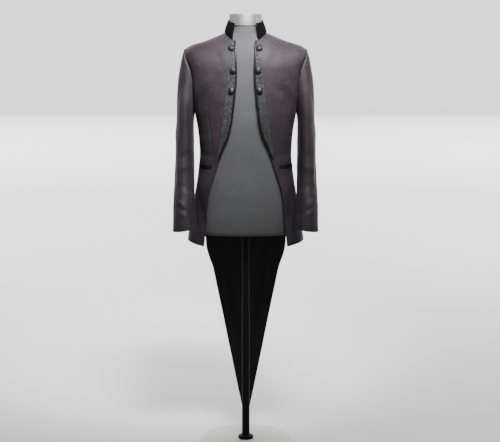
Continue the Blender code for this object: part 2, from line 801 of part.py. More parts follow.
def strip_place(share, z):
    """The width at which the brocade strip's point lies: share 0 is its inner edge, 1 its outer."""
    inner = table_value(FRONT_EDGE, z, "x") + STRIP_INSET
    outer = table_value(FACING_EDGE, z, "x")
    return inner + (outer - inner) * share


def binding_place(share, z):
    """The width at which the front edge's black binding lies."""
    return table_value(FRONT_EDGE, z, "x") + BINDING_INSET + BINDING_WIDTH * share


def jet_grid():
    """The pocket's jetting, laid on the front and round to the side seam."""
    grid = []
    for z in spread(POCKET_Z - POCKET_HEIGHT / 2, POCKET_Z + POCKET_HEIGHT / 2, 1):
        row = []
        for degrees in spread(POCKET_FRONT_DEGREES, POCKET_SIDE_DEGREES, POCKET_COLUMNS):
            point = surface_at(math.radians(degrees), z)
            row.append(point + outward(point) * (LAY_GAP + BINDING_THICKNESS))
        grid.append(row)
    return grid


for old in list(bpy.data.objects):
    bpy.data.objects.remove(old)
COAT = bpy.data.collections.new("cutaway_coat")
bpy.context.scene.collection.children.link(COAT)

pair("front", front_grid(), SATIN)
pair("side", side_grid(), SATIN, gap=BACK_SEAM_GAP)
pair("back", back_grid(), SATIN, gap=BACK_SEAM_GAP)

over_arm = spread(SLEEVE_BACK_SEAM_ANGLE - 360.0, SLEEVE_FRONT_SEAM_ANGLE, SLEEVE_TOP_COLUMNS)
under_arm = spread(SLEEVE_FRONT_SEAM_ANGLE, SLEEVE_BACK_SEAM_ANGLE, SLEEVE_UNDER_COLUMNS)
pair("sleeve_top", sleeve_grid(over_arm), SATIN, gap=SLEEVE_SEAM_GAP)
pair("sleeve_under", sleeve_grid(under_arm), SATIN, gap=SLEEVE_SEAM_GAP)

cloth_piece("collar", collar_grid(), VELVET_BLACK, thickness=VELVET)

laid_heights = [FACING_EDGE[0].z + LAID_END]
laid_heights += [z for z in edge_heights() if z > FACING_EDGE[0].z + 2 * LAID_END]
laid_heights[-1] -= LAID_NECK_GAP
strip = laid_on_front(strip_place, laid_heights, STRIP_COLUMNS, LAY_GAP + STRIP_THICKNESS)
pair("facing", strip, BROCADE, thickness=STRIP_THICKNESS)
binding = laid_on_front(binding_place, laid_heights, 1, LAY_GAP + BINDING_THICKNESS)
pair("edge_binding", binding, VELVET_BLACK, thickness=BINDING_THICKNESS)
pair("pocket_jet", jet_grid(), VELVET_BLACK, thickness=BINDING_THICKNESS)

build_buttons()
build_form()
ring_lathe("neck_cap", NECK_CAP, SILVER, (0.0, FORM_NECK_Y))
ring_lathe("stand_pole", POLE, POLE_BLACK)
ring_lathe("stand_base", BASE, JERSEY)
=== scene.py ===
"""The looks of a cutaway coat with a stand collar, brocade strips and long tails, worn by a
limbless dress form on a round base.

Metres, +Z up. The coat faces -Y and the wearer's left is +X. Every panel of cloth is a fine grid
of points on the garment's surface, with its folds, seams and darts pressed into it.
"""

import logging
import math
from dataclasses import dataclass, field
from enum import Enum
from typing import Callable, NamedTuple, Sequence

import bmesh
import bpy
import numpy as np
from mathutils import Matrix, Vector


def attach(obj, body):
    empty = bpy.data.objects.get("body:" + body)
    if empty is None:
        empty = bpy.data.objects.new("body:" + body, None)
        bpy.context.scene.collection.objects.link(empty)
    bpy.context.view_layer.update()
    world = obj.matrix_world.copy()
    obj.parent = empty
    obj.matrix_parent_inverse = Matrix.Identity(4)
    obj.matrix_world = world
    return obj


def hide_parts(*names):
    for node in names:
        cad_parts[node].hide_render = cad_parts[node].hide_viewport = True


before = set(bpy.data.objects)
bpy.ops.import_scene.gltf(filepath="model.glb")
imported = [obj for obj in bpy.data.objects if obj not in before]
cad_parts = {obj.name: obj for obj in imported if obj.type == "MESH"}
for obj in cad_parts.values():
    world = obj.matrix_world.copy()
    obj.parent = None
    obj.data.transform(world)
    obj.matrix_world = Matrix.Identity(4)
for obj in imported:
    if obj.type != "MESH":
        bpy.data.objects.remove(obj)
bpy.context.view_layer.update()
LOG = logging.getLogger("cutaway_coat")
# How near two points are one; the steps that each row and column of a panel is cut into, and where
# the extra ones beside its borders lie; and the corner that stays sharp on a turned piece.
WELD = 1e-6
FINENESS = 6
HEMS = (0.03, 0.08)
TURNED_SHARP_DEGREES = 40.0
Array = np.ndarray
Boundary = Callable[[Array], Array]
Socket = bpy.types.NodeSocket
Rgb = tuple[float, float, float]


class Side(Enum):
    """The wearer's side that a piece is on, as the sign of its X."""

    LEFT = 1.0
    RIGHT = -1.0

    @property
    def word(self) -> str:
        """The side's name as the nodes spell it."""
        return self.name.lower()


class Section(NamedTuple):
    """One level of the garment's body: its half width, its depths and its middle."""

    z: float
    half_width: float
    front: float
    back: float
    centre: float


class Ridge(NamedTuple):
    """The height of the shoulder line at a distance from the middle."""

    x: float
    z: float


class EdgePoint(NamedTuple):
    """How far an edge of the front stands from the middle at a height."""

    z: float
    x: float


class SeamPoint(NamedTuple):
    """The azimuth of a side seam at a height, in degrees from the front."""

    z: float
    degrees: float


class ArmSection(NamedTuple):
    """One level of the hanging left sleeve."""

    z: float
    inner_x: float
    outer_x: float
    centre_y: float
    half_depth: float


class Flute(NamedTuple):
    """A soft flute of the skirt: where it stands, how wide and how deep it is at the hem."""

    degrees: float
    width: float
    depth: float


class Crease(NamedTuple):
    """A soft fold from one point of the cloth to another: ridge if its height is over 0."""

    start: tuple[float, float, float]
    end: tuple[float, float, float]
    width: float
    height: float


class Turned(NamedTuple):
    """One point of a turned profile."""

    radius: float
    z: float


class Inset(NamedTuple):
    """How deep the form lies under the coat, at a height or at a rise in degrees."""

    depth: float
    place: float


class Wave(NamedTuple):
    """One unevenness of hanging cloth: its share and two waves, as pitches over x, y, z and a phase."""

    share: float
    first: tuple[float, float, float, float]
    second: tuple[float, float, float, float]


def rows_of(kind: type, *rows: tuple) -> tuple:
    """A table of named rows."""
    return tuple(kind(*row) for row in rows)


def table_value(table: Sequence[tuple], key: Array, column: str) -> Array:
    """Smooth values of one column between the rows of a table sorted by its first column.

    Args:
        table: Rows of named columns.
        key: Values of the first column to look up.
        column: The name of the column that is read.

    Returns:
        The column's value at each key, held level past either end.
    """
    keys = np.array([row[0] for row in table])
    values = np.array([getattr(row, column) for row in table])
    slopes = np.empty_like(values)
    slopes[1:-1] = (values[2:] - values[:-2]) / (keys[2:] - keys[:-2])
    slopes[0] = (values[1] - values[0]) / (keys[1] - keys[0])
    slopes[-1] = (values[-1] - values[-2]) / (keys[-1] - keys[-2])
    key = np.clip(key, keys[0], keys[-1])
    i = np.clip(np.searchsorted(keys, key, side="right") - 1, 0, len(keys) - 2)
    step = keys[i + 1] - keys[i]
    s = (key - keys[i]) / step
    return (
        values[i] * (1 + 2 * s) * (1 - s) ** 2
        + slopes[i] * step * s * (1 - s) ** 2
        + values[i + 1] * s * s * (3 - 2 * s)
        + slopes[i + 1] * step * s * s * (s - 1)
    )


def smooth_step(low: float, high: float, value: Array) -> Array:
    """0 below low, 1 above high, and a soft S between."""
    s = np.clip((np.asarray(value, float) - low) / (high - low), 0.0, 1.0)
    return s * s * (3 - 2 * s)


def bell(value: Array, middle: float, width: float) -> Array:
    """1 at the middle and falling softly to 0 over a few widths."""
    return np.exp(-(((np.asarray(value, float) - middle) / width) ** 2))


def unit(vectors: Array) -> Array:
    """The vectors at length 1."""
    return vectors / np.maximum(np.linalg.norm(vectors, axis=-1, keepdims=True), 1e-12)


def points_of(x: Array, y: Array, z: Array) -> Array:
    """Points from their three coordinates, which may be numbers or arrays."""
    return np.stack(np.broadcast_arrays(x, y, z), axis=-1).astype(float)


@dataclass(frozen=True)
class GarmentSurface:
    """The surface that the coat's body hangs on: a column of sections under a shoulder roof."""

    body: tuple[Section, ...] = rows_of(
        Section,
        (0.740, 0.2225, 0.126, 0.150, 0.014),
        (0.800, 0.2205, 0.126, 0.150, 0.013),
        (0.860, 0.2125, 0.126, 0.150, 0.012),
        (0.930, 0.2015, 0.124, 0.147, 0.010),
        (1.010, 0.1905, 0.121, 0.141, 0.006),
        (1.090, 0.1790, 0.116, 0.126, 0.003),
        (1.140, 0.1745, 0.115, 0.119, 0.000),
        (1.200, 0.1772, 0.120, 0.120, -0.002),
        (1.255, 0.1835, 0.126, 0.125, -0.003),
        (1.310, 0.1935, 0.130, 0.131, -0.002),
        (1.380, 0.2085, 0.130, 0.136, 0.000),
        (1.460, 0.2200, 0.126, 0.136, 0.003),
        (1.540, 0.2440, 0.118, 0.134, 0.006),
        (1.640, 0.2600, 0.110, 0.130, 0.008),
    )
    ridge: tuple[Ridge, ...] = rows_of(
        Ridge,
        (0.000, 1.6220), (0.050, 1.6100), (0.080, 1.5990), (0.120, 1.5820),
        (0.160, 1.5670), (0.200, 1.5590), (0.222, 1.5550), (0.260, 1.5480),
        (0.320, 1.5350),
    )
    flutes: tuple[Flute, ...] = rows_of(
        Flute,
        (88.0, 13.0, 0.0050),
        (112.0, 11.0, -0.0045),
        (150.0, 12.0, 0.0050),
    )
    power: float = 2.4
    roof_front: float = 6.0
    roof_back: float = 4.5
    blend: float = 0.050
    axis_z: float = 1.25
    under_roof_z: float = 1.50
    polar_scale: float = 0.25
    hem_z: float = 0.802
    flute_top_z: float = 1.04
    slope_step: float = 0.0015

    def outside(self, points: Array) -> Array:
        """How far points lie outside the surface.

        Args:
            points: Any points.

        Returns:
            Roughly the distance in metres; negative is inside.
        """
        x, y, z = np.abs(points[..., 0]), points[..., 1], points[..., 2]
        half_width = table_value(self.body, z, "half_width")
        off = y - table_value(self.body, z, "centre")
        front = table_value(self.body, z, "front")
        depth = np.where(off < 0, front, table_value(self.body, z, "back"))
        ring = (x / half_width) ** self.power + (np.abs(off) / depth) ** self.power
        column = (ring ** (1 / self.power) - 1) * np.minimum(half_width, depth)
        curve = np.where(y < 0, self.roof_front, self.roof_back)
        roof = z - table_value(self.ridge, x, "z") + curve * y**2
        overlap = np.maximum(self.blend - np.abs(column - roof), 0.0) / self.blend
        return np.maximum(column, roof) + overlap**2 * self.blend / 4

    def along(self, start: Array, direction: Array, reach: float = 0.6) -> Array:
        """Where rays from inside the garment leave its surface.

        Args:
            start: The rays' first points.
            direction: Their unit directions.
            reach: The longest that a ray runs.

        Returns:
            The points of the surface that the rays meet.
        """
        near = np.zeros(start.shape[:-1])
        far = np.full(start.shape[:-1], reach)
        for _ in range(30):
            middle = (near + far) / 2
            inside = self.outside(start + direction * middle[..., None]) < 0
            near, far = np.where(inside, middle, near), np.where(inside, far, middle)
        return start + direction * ((near + far) / 2)[..., None]

    def on_front(self, x: Array, z: Array) -> Array:
        """Points of the garment's front at widths and heights."""
        start = points_of(x, 0.0, z)
        return self.along(start, np.broadcast_to([0.0, -1.0, 0.0], start.shape))

    def on_side(self, y: Array, z: Array) -> Array:
        """Points of the garment's left side at depths and heights."""
        start = points_of(0.0, y, z)
        return self.along(start, np.broadcast_to([1.0, 0.0, 0.0], start.shape))

    def on_top(self, x: Array, y: Array) -> Array:
        """Points of the garment's top over places on the floor."""
        start = points_of(x, y, self.under_roof_z)
        return self.along(start, np.broadcast_to([0.0, 0.0, 1.0], start.shape))

    def polar_of(self, points: Array) -> Array:
        """Azimuths and heights of points: above the axis point the height turns into a rise.

        Args:
            points: Any points.

        Returns:
            The azimuths in radians and the heights, side by side.
        """
        azimuth = np.arctan2(points[..., 0], -points[..., 1])
        reach = np.hypot(points[..., 0], points[..., 1])
        rise = np.arctan2(points[..., 2] - self.axis_z, reach)
        high = self.axis_z + self.polar_scale * rise
        height = np.where(points[..., 2] <= self.axis_z, points[..., 2], high)
        return np.stack([azimuth, height], axis=-1)

    def at(self, polar: Array) -> Array:
        """The surface's points at azimuths and heights.

        Args:
            polar: Azimuths and heights as polar_of gives them.

        Returns:
            The points.
        """
        azimuth, height = polar[..., 0], polar[..., 1]
        rise = np.maximum(0.0, (height - self.axis_z) / self.polar_scale)
        level = np.cos(rise)
        direction = points_of(np.sin(azimuth) * level, -np.cos(azimuth) * level, np.sin(rise))
        return self.along(points_of(0.0, 0.0, np.minimum(height, self.axis_z)), direction)

    def outward(self, points: Array) -> Array:
        """Unit normals of the surface.

        Args:
            points: Points on or near it.

        Returns:
            The normals, facing out.
        """
        slopes = []
        for axis in range(3):
            shift = np.zeros(3)
            shift[axis] = self.slope_step
            slopes.append(self.outside(points + shift) - self.outside(points - shift))
        return unit(np.stack(slopes, axis=-1))

    def flute_depth(self, azimuth: Array, z: Array) -> Array:
        """How far the skirt stands out or in: soft flutes that grow towards the hem.

        Args:
            azimuth: The points' azimuths, in radians.
            z: Their heights.

        Returns:
            The distances in metres.
        """
        degrees = np.degrees(azimuth)
        sway = sum(f.depth * bell(degrees, f.degrees, f.width) for f in self.flutes)
        return (1 - smooth_step(self.hem_z, self.flute_top_z, z)) * sway


SURFACE = GarmentSurface()
# How deep through the garment a fold still acts, and how its ends fade.
FOLD_DEPTH = 0.034
FOLD_END = 0.06
FOLD_END_POWER = 0.8
SLACK_WAVES = rows_of(
    Wave,
    (0.55, (27.0, 0.0, 15.0, 1.3), (0.0, -24.0, 21.0, 0.4)),
    (0.30, (58.0, 0.0, -37.0, 2.1), (0.0, 44.0, 31.0, 0.9)),
    (0.15, (96.0, 0.0, 71.0, 0.2), (0.0, 88.0, -64.0, 1.7)),
)


def crease_height(points: Array, normals: Array, creases: Sequence[Crease]) -> Array:
    """The sum of soft folds at points of the cloth.

    Args:
        points: Points of the cloth.
        normals: The cloth's unit normals there: a fold lies on the cloth over its line.
        creases: The folds, each fading out at its ends.

    Returns:
        How far each point moves out, in metres.
    """
    total = np.zeros(points.shape[:-1])
    for crease in creases:
        start, end = np.array(crease.start), np.array(crease.end)
        way = end - start
        share = np.clip(((points - start) @ way) / (way @ way), 0.0, 1.0)
        off = points - (start + share[..., None] * way)
        depth = np.sum(off * normals, axis=-1)
        gap = np.linalg.norm(off - depth[..., None] * normals, axis=-1)
        inward = np.clip(FOLD_END + (1 - 2 * FOLD_END) * share, 0.0, 1.0)
        fade = np.sin(np.pi * inward) ** FOLD_END_POWER
        across = bell(gap, 0.0, crease.width) * bell(depth, 0.0, FOLD_DEPTH)
        total += crease.height * fade * across
    return total


def slack(points: Array) -> Array:
    """The soft unevenness of hanging cloth.

    Args:
        points: Points of the cloth.

    Returns:
        A height between about -1 and 1 at each.
    """
    sides, rest = np.abs(points[..., :1]), points[..., 1:]
    place = np.concatenate([sides, rest, np.ones_like(sides)], axis=-1)
    return sum(w.share * np.sin(place @ w.first) * np.sin(place @ w.second) for w in SLACK_WAVES)


def grid_normals(points: Array) -> Array:
    """Unit normals of a grid of points.

    Args:
        points: The grid, by row and column.

    Returns:
        The normals, facing the way of the columns' run crossed with the rows' run.
    """
    along = np.gradient(points, axis=0)
    across = np.gradient(points, axis=1)
    return unit(np.cross(across, along))


def fine_steps(count: int, fineness: int = FINENESS, hems: Sequence[float] = HEMS) -> Array:
    """Positions from 0 to count: a few close together at both ends, and even ones between.

    Args:
        count: The number of rows or columns of the plain grid.
        fineness: How many steps each of those is cut into.
        hems: The extra positions next to each end, in rows.

    Returns:
        The sorted positions.
    """
    even = np.linspace(0.0, count, count * fineness + 1)
    ends = [*hems, *(count - hem for hem in hems)]
    return np.unique(np.round(np.concatenate([even, ends]), 6))


def coons(left: Array, right: Array, bottom: Array, top: Array, u: Array, v: Array) -> Array:
    """A grid between four boundary lines, as a draper would spread the cloth between them.

    Args:
        left: Points up the left boundary.
        right: Points up the right boundary.
        bottom: Points along the bottom.
        top: Points along the top.
        u: The columns' places, from 0 to 1.
        v: The rows' places, from 0 to 1.

    Returns:
        The grid, by row and column.
    """
    uu, vv = u[None, :, None], v[:, None, None]
    across = left[:, None] * (1 - uu) + right[:, None] * uu
    along = bottom[None] * (1 - vv) + top[None] * vv
    corners = (left[0] * (1 - uu) + right[0] * uu) * (1 - vv)
    corners = corners + (left[-1] * (1 - uu) + right[-1] * uu) * vv
    return across + along - corners


@dataclass(frozen=True)
class CoatCut:
    """The lines that the coat is cut along, on the garment's surface; left side, right mirrored."""

    hem_front_z: float = 0.799
    hem_side_z: float = 0.812
    hem_back_z: float = 0.802
    chest_z: float = 1.33
    tail_tip_z: float = 0.062
    tail_top_x: float = 0.157
    tail_tip_x: float = 0.007
    vent_gap: float = 0.0006
    vent_spread: float = 0.0010
    neck_half_width: float = 0.080
    neck_front: float = 0.097
    neck_back: float = 0.078
    armhole_top_z: float = 1.5415
    armhole_bottom_z: float = 1.300
    armhole_middle_y: float = 0.004
    armhole_front: float = 0.064
    armhole_back: float = 0.074
    seam_rows: int = 14
    armhole_rows: int = 12
    neck_rows: int = 4
    tail_rows: int = 10
    front_columns: int = 10
    side_columns: int = 5
    back_columns: int = 8
    axis_rows: int = 2
    neck_spread: float = 1.35
    front_seam_end: float = 140.0
    back_seam_end: float = 220.0
    tail_ripple: float = 0.006
    ripple_turns: float = 2.2
    tail_sweep: float = 0.012
    tail_blend: float = 0.82
    front_edge: tuple[EdgePoint, ...] = rows_of(
        EdgePoint,
        (0.799, 0.1585), (0.862, 0.1510), (0.984, 0.1410), (1.028, 0.1320),
        (1.088, 0.1120), (1.145, 0.0925), (1.189, 0.0740), (1.214, 0.0625),
        (1.274, 0.0480), (1.313, 0.0430), (1.360, 0.0375), (1.429, 0.0310),
        (1.488, 0.0312), (1.572, 0.0350),
    )
    facing_edge: tuple[EdgePoint, ...] = rows_of(
        EdgePoint,
        (1.127, 0.1105), (1.155, 0.1040), (1.185, 0.0985), (1.225, 0.0925),
        (1.265, 0.0865), (1.308, 0.0800), (1.345, 0.0751), (1.385, 0.0707),
        (1.429, 0.0650), (1.488, 0.0595), (1.572, 0.0625),
    )
    front_seam: tuple[SeamPoint, ...] = rows_of(
        SeamPoint,
        (0.80, 84.0), (1.14, 88.0), (1.33, 80.0),
    )
    back_seam: tuple[SeamPoint, ...] = rows_of(
        SeamPoint,
        (0.80, 129.0), (0.95, 129.5), (1.14, 131.0), (1.25, 122.0), (1.33, 106.0),
    )

    def armhole(self, degrees: Array) -> Array:
        """Points of the armhole.

        Args:
            degrees: Angles round it: 0 is the shoulder, 90 the front, 180 the armpit.

        Returns:
            The points, on the garment's surface.
        """
        a = np.radians(degrees)
        middle = (self.armhole_top_z + self.armhole_bottom_z) / 2
        half = (self.armhole_top_z - self.armhole_bottom_z) / 2
        reach = np.where(np.sin(a) > 0, self.armhole_front, self.armhole_back)
        y = self.armhole_middle_y - reach * np.sin(a)
        return SURFACE.on_side(y, middle + half * np.cos(a))

    def neckline(self, degrees: Array) -> Array:
        """Points of the neckline.

        Args:
            degrees: Angles round it: 0 is the front, 90 the neck's side, 180 the nape.

        Returns:
            The points, on the garment's surface.
        """
        a = np.radians(degrees)
        reach = np.where(np.cos(a) > 0, self.neck_front, self.neck_back)
        return SURFACE.on_top(self.neck_half_width * np.sin(a), -reach * np.cos(a))

    def side_line(self, seam: Sequence[SeamPoint], bottom_z: float, top_degrees: float) -> Boundary:
        """The line of a side seam from the hem to its end on the armhole, by row.

        Args:
            seam: The seam's azimuths by height.
            bottom_z: The hem's height.
            top_degrees: Where on the armhole it ends.

        Returns:
            The line, which turns rows into azimuths and heights.
        """
        rows = self.seam_rows - self.axis_rows

        def line(row: Array) -> Array:
            """Azimuths and heights at rows of the seam.

            Args:
                row: The rows.

            Returns:
                The azimuths and heights, side by side.
            """
            z = bottom_z + (SURFACE.axis_z - bottom_z) * np.minimum(row / rows, 1.0)
            polar = np.stack([np.radians(table_value(seam, z, "degrees")), z], axis=-1)
            top = SURFACE.polar_of(self.armhole(np.array([top_degrees])))[0]
            share = np.clip((row - rows) / self.axis_rows, 0.0, 1.0)[:, None]
            return polar * (1 - share) + top * share

        return line

    def shoulder(self, share: Array) -> Array:
        """The shoulder seam, from the neck to the sleeve.

        Args:
            share: Places along it, from 0 to 1.

        Returns:
            Azimuths and heights.
        """
        end_x = self.armhole(np.array([0.0]))[0, 0]
        x = self.neck_half_width + (end_x - self.neck_half_width) * share
        return SURFACE.polar_of(SURFACE.on_top(x, self.armhole_middle_y * share))

    def front_boundary(self, row: Array) -> Array:
        """The front edge from the hem to the neck, then the neckline up to the shoulder.

        Args:
            row: Rows of the front.

        Returns:
            Azimuths and heights.
        """
        edge_rows = self.armhole_rows - self.neck_rows
        top = self.front_edge[-1]
        low = self.hem_front_z + (self.chest_z - self.hem_front_z) * row / self.seam_rows
        share = np.clip((row - self.seam_rows) / edge_rows, 0.0, 1.0)
        high = self.chest_z + (top.z - self.chest_z) * (1 - (1 - share) ** self.neck_spread)
        z = np.where(row < self.seam_rows, low, high)
        edge = SURFACE.polar_of(SURFACE.on_front(table_value(self.front_edge, z, "x"), z))
        first = math.degrees(math.asin(top.x / self.neck_half_width))
        past = np.clip((row - self.seam_rows - edge_rows) / self.neck_rows, 0.0, 1.0)
        neck = SURFACE.polar_of(self.neckline(first + (90.0 - first) * past))
        corner = SURFACE.polar_of(SURFACE.on_front(np.array([top.x]), np.array([top.z])))
        step = corner - SURFACE.polar_of(self.neckline(np.array([first])))
        neck = neck + step * np.maximum(0.0, 1 - self.neck_rows * past)[:, None]
        return np.where((past > 0)[:, None], neck, edge)

    def back_boundary(self, row: Array) -> Array:
        """The centre back from the hem to the nape, then the neckline up to the shoulder.

        Args:
            row: Rows of the back.

        Returns:
            Azimuths and heights.
        """
        low_rows, all_rows = self.seam_rows - self.axis_rows, self.seam_rows + self.armhole_rows
        nape = SURFACE.polar_of(self.neckline(np.array([180.0])))[0, 1]
        low = self.hem_back_z + (SURFACE.axis_z - self.hem_back_z) * row / low_rows
        share = (row - low_rows) / (all_rows - self.neck_rows - low_rows)
        z = np.where(row < low_rows, low, SURFACE.axis_z + (nape - SURFACE.axis_z) * share)
        centre = np.stack([np.full_like(z, math.pi), z], axis=-1)
        past = np.clip((row - all_rows + self.neck_rows) / self.neck_rows, 0.0, 1.0)
        neck = SURFACE.polar_of(self.neckline(180.0 - 90.0 * past))
        return np.where((past > 0)[:, None], neck, centre)

    def with_armhole(self, line: Boundary, first: float, last: float) -> Boundary:
        """A side line that goes on up the armhole.

        Args:
            line: The side line.
            first: Where on the armhole it starts, in degrees.
            last: Where it ends.

        Returns:
            The whole line, by row.
        """

        def whole(row: Array) -> Array:
            """Azimuths and heights at rows of the seam and the armhole.

            Args:
                row: The rows.

            Returns:
                The azimuths and heights, side by side.
            """
            share = np.clip((row - self.seam_rows) / self.armhole_rows, 0.0, 1.0)
            arm = SURFACE.polar_of(self.armhole(first + (last - first) * share))
            return np.where((share > 0)[:, None], arm, line(row))

        return whole

    def drape(self, polar: Array) -> Array:
        """The cloth's points, with the skirt's flutes.

        Args:
            polar: Their azimuths and heights.

        Returns:
            The points.
        """
        points = SURFACE.at(polar)
        depth = SURFACE.flute_depth(polar[..., 0], points[..., 2])
        return points + SURFACE.outward(points) * depth[..., None]

    def spread(self, left: Boundary, right: Boundary, top: Array, rows: Array, u: Array) -> Array:
        """The cloth between two boundaries and a top line.

        Args:
            left: The left boundary by row.
            right: The right boundary by row.
            top: The top line's azimuths and heights at u.
            rows: The rows' places.
            u: The columns' places, from 0 to 1.

        Returns:
            The grid of the cloth's points, by row and column.
        """
        lefts, rights = left(rows), right(rows)
        bottom = lefts[0] * (1 - u[:, None]) + rights[0] * u[:, None]
        return self.drape(coons(lefts, rights, bottom, top, u, rows / rows[-1]))

    def front_grid(self) -> Array:
        """The left front, from its cutaway edge to the side seam and up to the shoulder.

        Returns:
            The grid of its points.
        """
        rows = fine_steps(self.seam_rows + self.armhole_rows)
        u = fine_steps(self.front_columns) / self.front_columns
        side = self.side_line(self.front_seam, self.hem_side_z, self.front_seam_end)
        right = self.with_armhole(side, self.front_seam_end, 0.0)
        return self.spread(self.front_boundary, right, self.shoulder(u), rows, u)

    def side_grid(self) -> Array:
        """The left side panel, between the two side seams and under the armhole.

        Returns:
            The grid of its points.
        """
        rows = fine_steps(self.seam_rows)
        u = fine_steps(self.side_columns) / self.side_columns
        left = self.side_line(self.front_seam, self.hem_side_z, self.front_seam_end)
        right = self.side_line(self.back_seam, self.hem_back_z, self.back_seam_end)
        under = self.front_seam_end + (self.back_seam_end - self.front_seam_end) * u
        return self.spread(left, right, SURFACE.polar_of(self.armhole(under)), rows, u)

    def tail_points(self, share: Array, z: Array) -> Array:
        """The tail below the hem.

        Args:
            share: Places across it: 0 is its outer edge and 1 the centre vent.
            z: Heights.

        Returns:
            The points.
        """
        fall = (self.hem_back_z - z) / (self.hem_back_z - self.tail_tip_z)
        outer = self.tail_top_x + (self.tail_tip_x - self.tail_top_x) * fall
        vent = self.vent_gap + self.vent_spread * 4 * fall * (1 - fall)
        x = outer * (1 - share) + vent * share
        hem = SURFACE.body[1]
        bulge = (1 - (x / hem.half_width) ** SURFACE.power) ** (1 / SURFACE.power)
        y = hem.centre + hem.back * bulge
        flute = SURFACE.flute_depth(np.arctan2(x, -y), z)
        turn = np.cos(self.ripple_turns * np.pi * (1 - share))
        ripple = self.tail_ripple * np.sin(np.pi * fall) * turn
        return points_of(x, y + flute - ripple - self.tail_sweep * fall, z)

    def back_grid(self) -> Array:
        """The left back, cut in one with its tail, from the side seam to the centre back.

        Returns:
            The grid of its points.
        """
        rows = fine_steps(self.seam_rows + self.armhole_rows)
        u = fine_steps(self.back_columns) / self.back_columns
        side = self.side_line(self.back_seam, self.hem_back_z, self.back_seam_end)
        left = self.with_armhole(side, self.back_seam_end, 360.0)
        top = self.shoulder(1 - u)
        body = self.spread(left, self.back_boundary, top, rows, u)
        share = fine_steps(self.tail_rows)[:-1, None] / self.tail_rows
        z = self.tail_tip_z + (self.hem_back_z - self.tail_tip_z) * share
        hang = self.tail_points(u[None], z)
        blend = smooth_step(self.tail_blend, 1.0, share)
        hang[..., :2] += (body[0][None, :, :2] - hang[..., :2]) * blend[..., None]
        return np.concatenate([hang, body])


CUT = CoatCut()


@dataclass(frozen=True)
class SleeveCut:
    """The left sleeve as it hangs empty: a flattened tube from the armhole to the cuff."""

    arm: tuple[ArmSection, ...] = rows_of(
        ArmSection,
        (0.862, 0.1825, 0.2735, -0.106, 0.049),
        (0.905, 0.1855, 0.2735, -0.090, 0.053),
        (0.966, 0.1915, 0.2735, -0.060, 0.060),
        (1.043, 0.1945, 0.2710, -0.018, 0.070),
        (1.120, 0.1960, 0.2685, 0.000, 0.077),
        (1.197, 0.1960, 0.2655, 0.006, 0.081),
        (1.262, 0.1965, 0.2615, 0.006, 0.083),
    )
    top_share: float = 0.34
    cuff_rise: float = 0.014
    cuff_start: float = 0.80
    head_gap: float = -0.0007
    head_power: float = 0.65
    head_lift: float = 0.004
    head_reach: float = 0.22
    rope: float = 0.0034
    rope_run: float = 0.0075
    rope_width: float = 0.0090
    rope_low_z: float = 1.42
    rope_high_z: float = 1.53
    seam_front: float = 130.0
    seam_back: float = 230.0
    rows: int = 16
    top_columns: int = 12
    under_columns: int = 7

    def points(self, degrees: Array, share: Array) -> Array:
        """Points of the sleeve.

        Args:
            degrees: Angles round it, as at the armhole.
            share: Places along it: 0 is the armhole and 1 the cuff.

        Returns:
            The points.
        """
        a = np.radians(degrees)
        top, low = self.arm[-1].z, self.arm[0].z
        run = np.maximum(share - self.top_share, 0.0) / (1 - self.top_share)
        z = top + (low - top) * run
        names = ("inner_x", "outer_x", "centre_y", "half_depth")
        inner, outer, centre_y, half_depth = (table_value(self.arm, z, name) for name in names)
        x = (inner + outer) / 2 + (outer - inner) / 2 * np.cos(a)
        lift = self.cuff_rise * smooth_step(self.cuff_start, 1.0, share) * (1 - np.cos(a)) / 2
        ring = points_of(x, centre_y - half_depth * np.sin(a), z + lift)
        start = CUT.armhole(degrees) + np.array([self.head_gap, 0.0, 0.0])
        s = np.clip(share / self.top_share, 0.0, 1.0)
        across = (1 - (1 - s**self.head_power) ** 2)[..., None]
        point = start * (1 - across) + ring * across
        swell = np.sin(np.pi * np.minimum(1.0, s / self.head_reach))
        head = self.head_lift * np.maximum(0.0, np.cos(a)) * swell
        point[..., 2] = start[..., 2] + (ring[..., 2] - start[..., 2]) * s + head
        return point

    def grid(self, first: float, last: float, columns: int) -> Array:
        """One piece of the sleeve, from the armhole to the cuff.

        Args:
            first: The long seam it starts at, in degrees.
            last: The long seam it ends at.
            columns: Its columns.

        Returns:
            The grid of its points.
        """
        degrees = first + (last - first) * fine_steps(columns) / columns
        share = fine_steps(self.rows) / self.rows
        return self.points(*np.broadcast_arrays(degrees[None], share[:, None]))


SLEEVE = SleeveCut()


